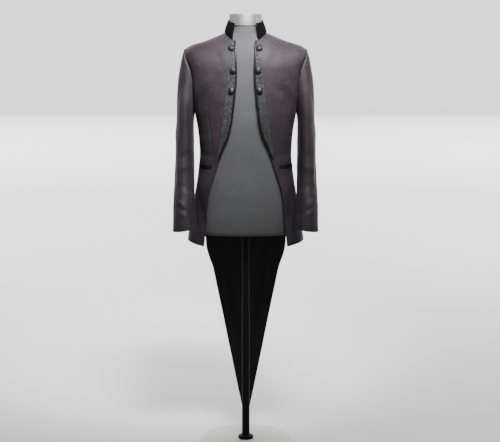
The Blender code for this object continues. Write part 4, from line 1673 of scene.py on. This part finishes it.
@dataclass
class CoatBody:
    """The coat's two fronts, two sides and two backs, the backs cut in one with their tails."""

    wardrobe: Wardrobe
    slackness: float = 0.0008
    dart_degrees: float = 53.0
    dart_low_z: float = 1.150
    dart_high_z: float = 1.352
    dart_width: float = 0.0030
    dart_depth: float = 0.0017
    dart_start: float = 0.004
    dart_fade: float = 0.035
    dart_lip: float = 0.0004
    dart_lip_at: float = 0.006
    dart_lip_width: float = 0.003
    dart_swell: float = 0.0012
    dart_swell_width: float = 0.022
    dart_swell_rise: float = 0.010
    pad_lift: float = 0.0018
    pad_inner_x: float = 0.186
    pad_outer_x: float = 0.224
    pad_low_z: float = 1.49
    pad_high_z: float = 1.54
    chest_folds: tuple[Crease, ...] = rows_of(
        Crease,
        ((0.192, -0.062, 1.330), (0.112, -0.121, 1.405), 0.017, -0.0022),
        ((0.190, -0.058, 1.352), (0.118, -0.116, 1.452), 0.016, 0.0016),
        ((0.187, -0.052, 1.296), (0.128, -0.112, 1.318), 0.014, 0.0015),
        ((0.176, -0.020, 1.190), (0.112, -0.098, 1.215), 0.011, 0.0013),
        ((0.176, -0.030, 1.156), (0.108, -0.096, 1.146), 0.010, -0.0015),
        ((0.178, -0.022, 1.122), (0.142, -0.085, 1.128), 0.009, 0.0012),
        ((0.098, -0.093, 1.555), (0.060, -0.122, 1.470), 0.018, 0.0011),
        ((0.196, -0.030, 0.980), (0.172, -0.078, 0.850), 0.017, 0.0024),
        ((0.184, -0.062, 1.010), (0.158, -0.092, 0.870), 0.015, -0.0020),
    )
    side_folds: tuple[Crease, ...] = rows_of(
        Crease,
        ((0.172, 0.030, 1.172), (0.150, 0.078, 1.206), 0.011, 0.0018),
        ((0.175, 0.000, 1.128), (0.150, 0.080, 1.116), 0.010, -0.0017),
        ((0.196, 0.006, 0.990), (0.208, 0.030, 0.850), 0.016, 0.0022),
    )
    back_folds: tuple[Crease, ...] = rows_of(
        Crease,
        ((0.160, 0.088, 1.392), (0.058, 0.122, 1.206), 0.017, 0.0024),
        ((0.138, 0.096, 1.300), (0.040, 0.116, 1.162), 0.014, -0.0020),
        ((0.130, 0.088, 1.190), (0.040, 0.118, 1.152), 0.011, 0.0018),
        ((0.020, 0.120, 1.560), (0.115, 0.096, 1.545), 0.014, 0.0018),
        ((0.018, 0.128, 1.532), (0.120, 0.108, 1.515), 0.012, -0.0013),
        ((0.060, 0.152, 0.960), (0.070, 0.160, 0.700), 0.018, 0.0030),
        ((0.110, 0.136, 0.930), (0.096, 0.150, 0.640), 0.016, -0.0026),
        ((0.030, 0.150, 0.900), (0.026, 0.160, 0.420), 0.014, -0.0022),
        ((0.084, 0.150, 0.760), (0.052, 0.158, 0.380), 0.014, 0.0026),
    )

    def dart(self, points: Array) -> Array:
        """The front dart: a narrow sewn valley with a soft swell above its point.

        Args:
            points: The front's grid.

        Returns:
            A height at each point.
        """
        degrees = np.degrees(np.arctan2(points[..., 0], -points[..., 1]))
        reach = np.hypot(points[..., 0], points[..., 1])
        off = np.radians(degrees - self.dart_degrees) * reach
        z = points[..., 2]
        run = smooth_step(self.dart_low_z - self.dart_start, self.dart_low_z, z)
        run = run * (1 - smooth_step(self.dart_high_z - self.dart_fade, self.dart_high_z, z))
        valley = -self.dart_depth * run * bell(off, 0.0, self.dart_width)
        lips = self.dart_lip * run * bell(np.abs(off), self.dart_lip_at, self.dart_lip_width)
        swell = bell(z, self.dart_high_z + self.dart_swell_rise, self.dart_swell_width)
        swell = self.dart_swell * bell(off, 0.0, self.dart_swell_width) * swell
        return valley + lips + swell

    def pad(self, points: Array) -> Array:
        """The padded shoulder, which lifts the cloth where the sleeve is set in.

        Args:
            points: A panel's grid.

        Returns:
            A height at each point.
        """
        out = smooth_step(self.pad_inner_x, self.pad_outer_x, np.abs(points[..., 0]))
        return self.pad_lift * out * smooth_step(self.pad_low_z, self.pad_high_z, points[..., 2])

    def build(self) -> None:
        """Makes the six panels."""
        front, back = CUT.front_grid(), CUT.back_grid()
        sides = CUT.side_grid()
        satin, lining = self.wardrobe.satin, self.wardrobe.lining
        front_borders = Borders(seams=("right", "top"), edges=("left", "bottom"))
        other_borders = Borders(seams=("left", "right", "top"), edges=("bottom",))
        front_folds = self.chest_folds + self.side_folds
        side_folds = self.side_folds + self.chest_folds + self.back_folds
        back_folds = self.back_folds + self.side_folds
        for side in Side:
            for node, points, borders, folds, relief in (
                ("front", front, front_borders, front_folds, self.dart(front) + self.pad(front)),
                ("side", sides, other_borders, side_folds, None),
                ("back", back, other_borders, back_folds, self.pad(back)),
            ):
                piece = ClothPiece(node, points, satin, lining, borders, folds)
                piece.relief = relief
                piece.slackness = self.slackness
                piece.build(side)


@dataclass
class Sleeves:
    """The two-piece sleeves, hanging empty and flattened, with folds above the cuffs."""

    wardrobe: Wardrobe
    slackness: float = 0.0011
    folds: tuple[Crease, ...] = rows_of(
        Crease,
        ((0.236, -0.060, 1.420), (0.262, -0.030, 1.300), 0.013, -0.0024),
        ((0.240, 0.020, 1.450), (0.262, 0.036, 1.310), 0.013, 0.0022),
        ((0.262, -0.055, 1.180), (0.248, -0.076, 1.040), 0.012, 0.0026),
        ((0.268, -0.020, 1.130), (0.262, -0.060, 1.010), 0.012, -0.0026),
        ((0.200, -0.050, 1.010), (0.262, -0.090, 1.035), 0.011, -0.0030),
        ((0.200, -0.060, 0.985), (0.258, -0.100, 1.008), 0.010, 0.0028),
        ((0.268, -0.080, 0.990), (0.226, -0.124, 0.948), 0.009, 0.0034),
        ((0.266, -0.094, 0.966), (0.214, -0.128, 0.930), 0.008, -0.0034),
        ((0.262, -0.110, 0.940), (0.206, -0.134, 0.908), 0.008, 0.0030),
        ((0.196, -0.080, 0.950), (0.224, -0.120, 0.915), 0.009, -0.0026),
        ((0.262, 0.020, 1.120), (0.240, 0.036, 1.000), 0.014, 0.0028),
        ((0.230, 0.060, 1.150), (0.262, 0.010, 1.090), 0.011, -0.0034),
        ((0.226, 0.046, 1.060), (0.262, 0.000, 1.020), 0.010, 0.0032),
        ((0.206, -0.072, 1.160), (0.258, -0.050, 1.120), 0.010, -0.0024),
        ((0.206, -0.070, 1.112), (0.260, -0.062, 1.084), 0.010, 0.0024),
        ((0.262, -0.010, 1.250), (0.268, 0.030, 1.170), 0.014, 0.0024),
        ((0.240, -0.006, 0.960), (0.266, -0.050, 0.930), 0.010, -0.0024),
    )

    def rope(self, points: Array) -> Array:
        """The roped sleeve head: a low roll beside the armhole seam, over the shoulder.

        Args:
            points: The sleeve piece's grid.

        Returns:
            A height at each point.
        """
        top = smooth_step(SLEEVE.rope_low_z, SLEEVE.rope_high_z, points[0, :, 2])[None]
        return SLEEVE.rope * top * bell(arc_lengths(points, 0), SLEEVE.rope_run, SLEEVE.rope_width)

    def build(self) -> None:
        """Makes the top and under pieces of both sleeves."""
        first, last = SLEEVE.seam_front, SLEEVE.seam_back
        top = SLEEVE.grid(last - 360.0, first, SLEEVE.top_columns)
        under = SLEEVE.grid(first, last, SLEEVE.under_columns)
        borders = Borders(seams=("left", "right", "bottom"), edges=("top",))
        satin, lining = self.wardrobe.satin, self.wardrobe.lining
        for side in Side:
            for node, points in (("sleeve_top", top), ("sleeve_under", under)):
                piece = ClothPiece(node, points, satin, lining, borders, self.folds)
                piece.relief = self.rope(points)
                piece.slackness = self.slackness
                piece.rests_on = (f"front_{side.word}", f"back_{side.word}")
                piece.around_middle = False
                piece.build(side)


@dataclass
class Collar:
    """The stand collar, from its left end round the nape to its right."""

    wardrobe: Wardrobe
    end_degrees: float = 38.0
    top_half_width: float = 0.0655
    top_half_depth: float = 0.072
    top_centre_y: float = -0.006
    top_side_z: float = 1.645
    top_drop: float = 0.012
    roll: float = 0.02
    lift: float = 0.0003
    stand_off: float = 0.0007
    rows: int = 24
    columns: int = 150
    wall: float = 0.0030
    rim: float = 0.0011
    valley: float = 0.0006

    def points(self) -> Array:
        """The collar's outer face, by row from the neck seam to the top edge.

        Returns:
            The grid of its points.
        """
        degrees = np.linspace(self.end_degrees, 360.0 - self.end_degrees, self.columns)
        share = np.linspace(0.0, 1.0, self.rows)[:, None, None]
        a = np.radians(degrees)
        seam = CUT.neckline(degrees)
        seam = seam + SURFACE.outward(seam) * self.stand_off + np.array([0.0, 0.0, self.lift])
        top = points_of(
            self.top_half_width * np.sin(a),
            self.top_centre_y - self.top_half_depth * np.cos(a),
            self.top_side_z - self.top_drop * np.cos(a),
        )
        grid = seam[None] * (1 - share) + top[None] * share
        grid[..., :2] *= 1 + self.roll * np.sin(np.pi * share)
        return grid

    def build(self) -> None:
        """Makes the collar."""
        borders = Borders(seams=("bottom",), edges=("top",), valley=self.valley)
        velvet = self.wardrobe.velvet
        piece = ClothPiece("collar", self.points(), velvet, velvet, borders)
        piece.wall, piece.rim = self.wall, self.rim
        piece.build(None)


@dataclass
class FrontTrims:
    """What is sewn on each front: the brocade strip, the piped edge and the pocket's jetting."""

    wardrobe: Wardrobe
    rows: int = 150
    low_z: float = 1.133
    high_z: float = 1.569
    strip_inset: float = 0.0080
    piping_inset: float = 0.0004
    piping_width: float = 0.0068
    piping_height: float = 0.0019
    piping_lift: float = 0.0006
    piping_columns: int = 9
    strip_lift: float = 0.0013
    strip_pillow: float = 0.0007
    strip_columns: int = 4
    strip_fineness: int = 5
    strip_hems: tuple[float, ...] = (0.04, 0.12)
    pocket_z: float = 1.103
    pocket_height: float = 0.014
    pocket_front: float = 54.8
    pocket_side: float = 85.5
    jet_columns: int = 60
    jet_rows: int = 19
    jet_lift: float = 0.0007
    jet_roll: float = 0.0016
    jet_end: float = 0.3
    jet_end_run: float = 0.05
    strip_wall: float = 0.0008
    narrow_wall: float = 0.0006
    rim: float = 0.0002

    def laid(self, inner: Array, outer: Array, z: Array, share: Array, lift: Array) -> Array:
        """Points moved out from the front, between two lines.

        Args:
            inner: The inner line's distances from the middle, by row.
            outer: The outer line's.
            z: The rows' heights.
            share: The columns' places, from 0 to 1.
            lift: How far each column stands out.

        Returns:
            The grid of the strip's outer face.
        """
        x = inner[:, None] * (1 - share) + outer[:, None] * share
        face = SURFACE.on_front(x, np.broadcast_to(z[:, None], x.shape))
        return face + SURFACE.outward(face) * np.broadcast_to(lift, x.shape)[..., None]

    def strip(self) -> Array:
        """The brocade strip, a little pillowed between its turned edges.

        Returns:
            The grid of its outer face.
        """
        z = np.linspace(self.low_z, self.high_z, self.rows)
        share = fine_steps(self.strip_columns, self.strip_fineness, self.strip_hems)
        share = share / self.strip_columns
        inner = table_value(CUT.front_edge, z, "x") + self.strip_inset
        outer = table_value(CUT.facing_edge, z, "x")
        pillow = self.strip_lift + self.strip_pillow * np.sin(np.pi * share) ** 0.5
        return self.laid(inner, outer, z, share, pillow)

    def piping(self) -> Array:
        """The piped front edge: a low round roll.

        Returns:
            The grid of its outer face.
        """
        z = np.linspace(self.low_z, self.high_z, self.rows)
        share = np.linspace(0.0, 1.0, self.piping_columns)
        inner = table_value(CUT.front_edge, z, "x") + self.piping_inset
        lift = self.piping_lift + self.piping_height * round_over(2 * share - 1)
        return self.laid(inner, inner + self.piping_width, z, share, lift)

    def jet(self) -> Array:
        """The pocket's jetting: two narrow rolls with the pocket's mouth between them.

        Returns:
            The grid of its outer face.
        """
        degrees = np.radians(np.linspace(self.pocket_front, self.pocket_side, self.jet_columns))
        share = np.linspace(-1.0, 1.0, self.jet_rows)[:, None]
        z = self.pocket_z + share * self.pocket_height / 2 + 0 * degrees[None]
        face = SURFACE.at(np.stack([np.broadcast_to(degrees, z.shape), z], axis=-1))
        along = np.linspace(0.0, 1.0, self.jet_columns)
        ends = smooth_step(0.0, self.jet_end_run, np.minimum(along, 1 - along))
        roll = self.jet_roll * round_over(2 * np.abs(share) - 1)
        lift = self.jet_lift + roll * (self.jet_end + (1 - self.jet_end) * ends)
        return face + SURFACE.outward(face) * lift[..., None]

    def build(self) -> None:
        """Makes the strip, the piping and the jetting of both fronts."""
        brocade, piping = self.wardrobe.brocade, self.wardrobe.piping
        for side in Side:
            for node, points, cloth, wall in (
                ("facing", self.strip(), brocade, self.strip_wall),
                ("edge_binding", self.piping(), piping, self.narrow_wall),
                ("pocket_jet", self.jet(), piping, self.narrow_wall),
            ):
                piece = ClothPiece(node, points, cloth, cloth, Borders(edges=("left", "right")))
                piece.wall, piece.rim, piece.ribbon = wall, self.rim, True
                piece.rests_on = (f"front_{side.word}",)
                piece.build(side)


@dataclass
class Buttons:
    """Three domed buttons on each front, their faces fluted round a raised boss."""

    wardrobe: Wardrobe
    places: tuple[EdgePoint, ...] = rows_of(
        EdgePoint,
        (1.543, 0.0505), (1.462, 0.0468), (1.388, 0.0522),
    )
    lift: float = 0.0028
    profile: tuple[Turned, ...] = rows_of(
        Turned,
        (0.0000, 0.0000), (0.0085, 0.0000), (0.0108, 0.0008), (0.0117, 0.0020),
        (0.0115, 0.0032), (0.0106, 0.0040), (0.0098, 0.0041), (0.0092, 0.0047),
        (0.0078, 0.0058), (0.0060, 0.0066), (0.0044, 0.0070), (0.0036, 0.0068),
        (0.0028, 0.0074), (0.0014, 0.0079), (0.0000, 0.0080),
    )
    flutes: int = 9
    flute_depth: float = 0.00045
    flute_twist: float = 660.0
    flute_radius: float = 0.0072
    flute_width: float = 0.0022
    flute_low_z: float = 0.004
    steps: int = 72

    def build(self) -> None:
        """Makes the six buttons, each turned on its own axis and set on its strip."""
        for side in Side:
            for number, spot in enumerate(self.places, start=1):
                self.button(side, number, spot)

    def button(self, side: Side, number: int, spot: EdgePoint) -> None:
        """Makes one button.

        Args:
            side: The front it is on.
            number: Its place from the top.
            spot: Its height and distance from the middle.
        """
        bm = lathe(self.profile, self.steps)
        for vertex in bm.verts:
            if vertex.co.z > self.flute_low_z:
                radius = math.hypot(vertex.co.x, vertex.co.y)
                angle = self.flutes * math.atan2(vertex.co.y, vertex.co.x) + self.flute_twist * radius
                band = float(bell(np.array(radius), self.flute_radius, self.flute_width))
                vertex.co.z += self.flute_depth * band * math.cos(angle)
        face = SURFACE.on_front(np.array([spot.x]), np.array([spot.z]))[0]
        normal = SURFACE.outward(face[None])[0]
        turn = Vector((0, 0, 1)).rotation_difference(Vector(normal)).to_matrix().to_4x4()
        turn.translation = Vector(face + normal * self.lift)
        bmesh.ops.transform(bm, matrix=turn, verts=bm.verts)
        if side is Side.RIGHT:
            bmesh.ops.scale(bm, vec=(-1, 1, 1), verts=bm.verts)
            bmesh.ops.recalc_face_normals(bm, faces=bm.faces)
        node = f"button_{side.word}_{number}"
        stand_for(finish_lathe(bm, f"{node}_dome", self.wardrobe.button), node)


def round_over(place: Array) -> Array:
    """The height of a half circle over places from -1 to 1."""
    return np.sqrt(np.clip(1 - place**2, 0.0, 1.0))


def lathe(profile: Sequence[Turned], steps: int) -> bmesh.types.BMesh:
    """A turned solid about the upright axis.

    Args:
        profile: The points of its outline, from the axis round to the axis.
        steps: How many segments go round.

    Returns:
        The closed mesh, facing out and shaded smooth.
    """
    bm = bmesh.new()
    line = [bm.verts.new((point.radius, 0.0, point.z)) for point in profile]
    geometry = line + [bm.edges.new(pair) for pair in zip(line, line[1:])]
    about = {"cent": (0, 0, 0), "axis": (0, 0, 1), "angle": math.tau}
    bmesh.ops.spin(bm, geom=geometry, steps=steps, use_merge=True, **about)
    bmesh.ops.remove_doubles(bm, verts=bm.verts, dist=WELD)
    bmesh.ops.recalc_face_normals(bm, faces=bm.faces)
    for face in bm.faces:
        face.smooth = True
    return bm


def finish_lathe(bm: bmesh.types.BMesh, name: str, material: bpy.types.Material) -> bpy.types.Object:
    """Puts a turned mesh into the scene, with its sharp corners kept crisp.

    Args:
        bm: The turned mesh, which is used up.
        name: The object's name.
        material: Its material.

    Returns:
        The object.
    """
    mesh = bpy.data.meshes.new(name)
    bm.to_mesh(mesh)
    bm.free()
    mesh.set_sharp_from_angle(angle=math.radians(TURNED_SHARP_DEGREES))
    return show(mesh, [material])


@dataclass
class DressForm:
    """The limbless form under the coat, its silver neck cap, its pole and its round base."""

    steps: int = 192
    stand_steps: int = 128
    sharp_degrees: float = 50.0
    rise_z: float = 1.25
    level_rings: int = 60
    rise_rings: int = 70
    first_rise: float = 2.0
    last_rise: float = 75.0
    centre_share: float = 0.5
    shoulder_gap: float = 0.0020
    shoulder_x: float = 0.192
    shoulder_cut: float = 0.60
    shoulder_inner_x: float = 0.10
    shoulder_outer_x: float = 0.17
    shoulder_low_z: float = 1.50
    shoulder_high_z: float = 1.53
    cloth: float = 0.0022
    cloth_fade: float = 0.10
    neck_y: float = -0.004
    throat_sag: float = 0.004
    throat: tuple[float, ...] = (0.25, 0.5, 0.75)
    rim: tuple[tuple[float, float], ...] = ((0.90, 0.012), (0.95, 0.0105), (0.985, 0.006))
    rings: tuple[Inset, ...] = rows_of(
        Inset,
        (0.022, 0.850), (0.018, 0.900), (0.016, 0.960), (0.014, 1.030),
        (0.011, 1.090), (0.009, 1.140), (0.009, 1.195), (0.010, 1.250),
    )
    rises: tuple[Inset, ...] = rows_of(
        Inset,
        (0.0100, 0.0), (0.0100, 26.0), (0.0085, 44.0), (0.0065, 55.0),
        (0.0060, 71.0), (0.0070, 75.0),
    )
    neck: tuple[Turned, ...] = (Turned(0.0590, 1.604), Turned(0.0575, 1.625))
    cap: tuple[Turned, ...] = rows_of(
        Turned,
        (0.0000, 1.6258), (0.0590, 1.6258), (0.0605, 1.6272), (0.0605, 1.6668),
        (0.0602, 1.6682), (0.0594, 1.6692), (0.0580, 1.6697), (0.0000, 1.6700),
    )
    pole: tuple[Turned, ...] = rows_of(
        Turned,
        (0.0000, 0.0170), (0.0292, 0.0170), (0.0300, 0.0180), (0.0300, 0.0240),
        (0.0285, 0.0262), (0.0200, 0.0290), (0.0150, 0.0340), (0.0150, 0.8040),
        (0.0190, 0.8052), (0.0190, 0.8372), (0.0000, 0.8376),
    )
    base: tuple[Turned, ...] = rows_of(
        Turned,
        (0.0000, 0.0000), (0.1786, 0.0000), (0.1796, 0.0006), (0.1800, 0.0018),
        (0.1800, 0.0086), (0.1792, 0.0104), (0.1770, 0.0116), (0.1700, 0.0130),
        (0.0000, 0.0165),
    )

    def ways(self, rise: float = 0.0) -> Array:
        """Unit directions all round.

        Args:
            rise: How far they point up, in radians.

        Returns:
            The directions, the last the same as the first.
        """
        a = np.linspace(0.0, math.tau, self.steps + 1)
        level = math.cos(rise)
        return points_of(np.sin(a) * level, -np.cos(a) * level, math.sin(rise))

    def level_ring(self, z: float) -> Array:
        """One level ring of the torso, from its bottom to the chest.

        Args:
            z: Its height.

        Returns:
            Its points.
        """
        ways = self.ways()
        depth = np.interp(z, [row.place for row in self.rings], [row.depth for row in self.rings])
        depth = depth + self.cloth * smooth_step(self.rise_z - self.cloth_fade, self.rise_z, z)
        centre = float(table_value(SURFACE.body, np.array(z), "centre")) * self.centre_share
        ring = SURFACE.along(np.broadcast_to([0.0, centre, z], ways.shape), ways)
        ring = ring - SURFACE.outward(ring) * depth
        ring[:, 2] = z
        return ring

    def rise_ring(self, rise: float) -> Array:
        """One ring of the chest and shoulders, where rays that point up meet them.

        Args:
            rise: The rays' rise in degrees.

        Returns:
            Its points.
        """
        ways = self.ways(math.radians(rise))
        ring = SURFACE.along(np.broadcast_to([0.0, 0.0, self.rise_z], ways.shape), ways)
        depth = np.interp(rise, [row.place for row in self.rises], [row.depth for row in self.rises])
        out = smooth_step(self.shoulder_inner_x, self.shoulder_outer_x, np.abs(ring[:, 0]))
        top = out * smooth_step(self.shoulder_low_z, self.shoulder_high_z, ring[:, 2])
        depth = depth + (self.shoulder_gap - depth) * top + self.cloth
        ring = ring - SURFACE.outward(ring) * depth[:, None]
        past = np.maximum(0.0, np.abs(ring[:, 0]) - self.shoulder_x)
        ring[:, 0] -= np.sign(ring[:, 0]) * past * self.shoulder_cut
        return ring

    def torso_points(self) -> Array:
        """The torso's rings, from its rounded lower rim over its shoulders to the neck.

        Returns:
            The grid of its points, by ring.
        """
        levels = np.linspace(self.rings[0].place, self.rise_z, self.level_rings)
        low = [self.level_ring(z) for z in levels]
        rises = np.linspace(self.first_rise, self.last_rise, self.rise_rings)
        high = [self.rise_ring(rise) for rise in rises]
        neck = [point.radius * self.ways() + [0.0, self.neck_y, point.z] for point in self.neck]
        middle = low[0].mean(axis=0)
        rim = [middle + (low[0] - middle) * share - [0.0, 0.0, drop] for share, drop in self.rim]
        throat = []
        for share in self.throat:
            sag = np.array([0.0, 0.0, -self.throat_sag * math.sin(math.pi * share)])
            throat.append(high[-1] * (1 - share) + neck[0] * share + sag)
        return np.array(rim + low + high + throat + neck)

    def build(self) -> None:
        """Makes the torso, the cap, the pole and the base."""
        points = self.torso_points()
        mesh = grid_mesh("form_torso_cover", points, Borders(), closed=True)
        bm = bmesh.new()
        bm.from_mesh(mesh)
        open_edges = [edge for edge in bm.edges if edge.is_boundary]
        bmesh.ops.holes_fill(bm, edges=open_edges, sides=0)
        bmesh.ops.recalc_face_normals(bm, faces=bm.faces)
        bm.to_mesh(mesh)
        bm.free()
        mesh.set_sharp_from_angle(angle=math.radians(self.sharp_degrees))
        stand_for(show(mesh, [JERSEY.material()]), "form_torso")
        for node, profile, finish, centre_y in (
            ("neck_cap", self.cap, SILVER, self.neck_y),
            ("stand_pole", self.pole, POLE_PAINT, 0.0),
            ("stand_base", self.base, BASE_PAINT, 0.0),
        ):
            bm = lathe(profile, self.stand_steps)
            bmesh.ops.translate(bm, vec=(0, centre_y, 0), verts=bm.verts)
            stand_for(finish_lathe(bm, f"{node}_turned", finish.material()), node)


class Lamp(NamedTuple):
    """One soft area light: its place, what it faces, its size, its watts and its spread in degrees."""

    name: str
    place: Rgb
    target: Rgb
    size: tuple[float, float]
    power: float
    spread: float = 180.0


@dataclass
class Studio:
    """A plain pale floor, soft light from above and a camera at the photograph's angle."""

    camera_distance: float = 4.6
    camera_height: float = 1.62
    camera_x: float = 0.0167
    pitch_degrees: float = 9.09
    lens: float = 87.19
    sensor: float = 36.0
    floor_size: float = 36.0
    horizon: float = 1.75
    overhead: float = 0.26
    band_low: float = 0.06
    band_high: float = 0.30
    lamps: tuple[Lamp, ...] = (
        Lamp("key_softbox", (0.22, -0.95, 2.55), (0.0, -0.10, 1.62), (0.7, 0.5), 16.0, 44.0),
        Lamp("rim_softbox", (2.2, 0.2, 1.9), (0.2, 0.0, 1.3), (0.5, 1.6), 6.0),
    )
    floor_lamps: tuple[Lamp, ...] = (
        Lamp("floor_near", (2.6, 3.6, 3.8), (2.6, 4.6, 0.0), (3.0, 3.0), 260.0),
        Lamp("floor_far", (4.16, 10.0, 4.6), (4.16, 11.0, 0.0), (6.0, 5.0), 700.0),
        Lamp("floor_back", (5.2, 15.5, 5.0), (5.2, 16.0, 0.0), (9.0, 5.0), 900.0),
    )

    def light(self, lamp: Lamp, side: float = 1.0) -> None:
        """Sets up one area light.

        Args:
            lamp: What it is.
            side: -1 to set it up on the other side.
        """
        data = bpy.data.lights.new(lamp.name, "AREA")
        data.shape = "RECTANGLE"
        data.size, data.size_y = lamp.size
        data.energy = lamp.power
        data.spread = math.radians(lamp.spread)
        item = set_out(lamp.name, data)
        item.location = Vector(lamp.place) * Vector((side, 1.0, 1.0))
        way = Vector(lamp.target) * Vector((side, 1.0, 1.0)) - item.location
        item.rotation_euler = way.to_track_quat("-Z", "Y").to_euler()

    def floor(self) -> None:
        """Makes the plain pale floor."""
        bm = bmesh.new()
        bmesh.ops.create_grid(bm, x_segments=4, y_segments=4, size=self.floor_size / 2)
        mesh = bpy.data.meshes.new("studio_floor")
        bm.to_mesh(mesh)
        bm.free()
        mesh.materials.append(FLOOR.material())
        floor = set_out("studio_floor", mesh)

    def world(self) -> None:
        """Makes the white surroundings, brightest at the horizon."""
        world = bpy.data.worlds.new("soft_white")
        world.use_nodes = True
        nodes = Nodes(world.node_tree)
        sky = world.node_tree.nodes["Background"].inputs
        height = nodes.math("ABSOLUTE", nodes.split(nodes.add("TexCoord").outputs["Generated"])[2])
        band = nodes.remap(height, self.band_low, self.band_high, self.horizon, self.overhead)
        nodes.feed(sky["Color"], rgba((1.0, 1.0, 1.0)))
        nodes.feed(sky["Strength"], band)
        bpy.context.scene.world = world

    def camera(self) -> None:
        """Sets up the camera at the photograph's angle."""
        data = bpy.data.cameras.new("camera")
        data.sensor_width = self.sensor
        data.lens = self.lens
        item = set_out("camera", data)
        item.location = (self.camera_x, -self.camera_distance, self.camera_height)
        item.rotation_euler = (math.radians(90.0 - self.pitch_degrees), 0.0, 0.0)
        bpy.context.scene.camera = item

    def build(self) -> None:
        """Makes the floor, the light and the camera."""
        self.floor()
        self.world()
        for lamp in self.lamps:
            self.light(lamp)
        for side in (-1.0, 1.0):
            for lamp in self.floor_lamps:
                self.light(lamp, side)
        self.camera()


def main() -> None:
    """Builds the coat, the form and the studio, and reports each piece."""
    logging.basicConfig(level=logging.INFO, format="%(name)s: %(message)s")
    wardrobe = Wardrobe()
    for part in (
        Studio(),
        DressForm(),
        CoatBody(wardrobe),
        Sleeves(wardrobe),
        Collar(wardrobe),
        FrontTrims(wardrobe),
        Buttons(wardrobe),
    ):
        LOG.info("building %s", type(part).__name__)
        part.build()


if __name__ == "__main__":
    main()
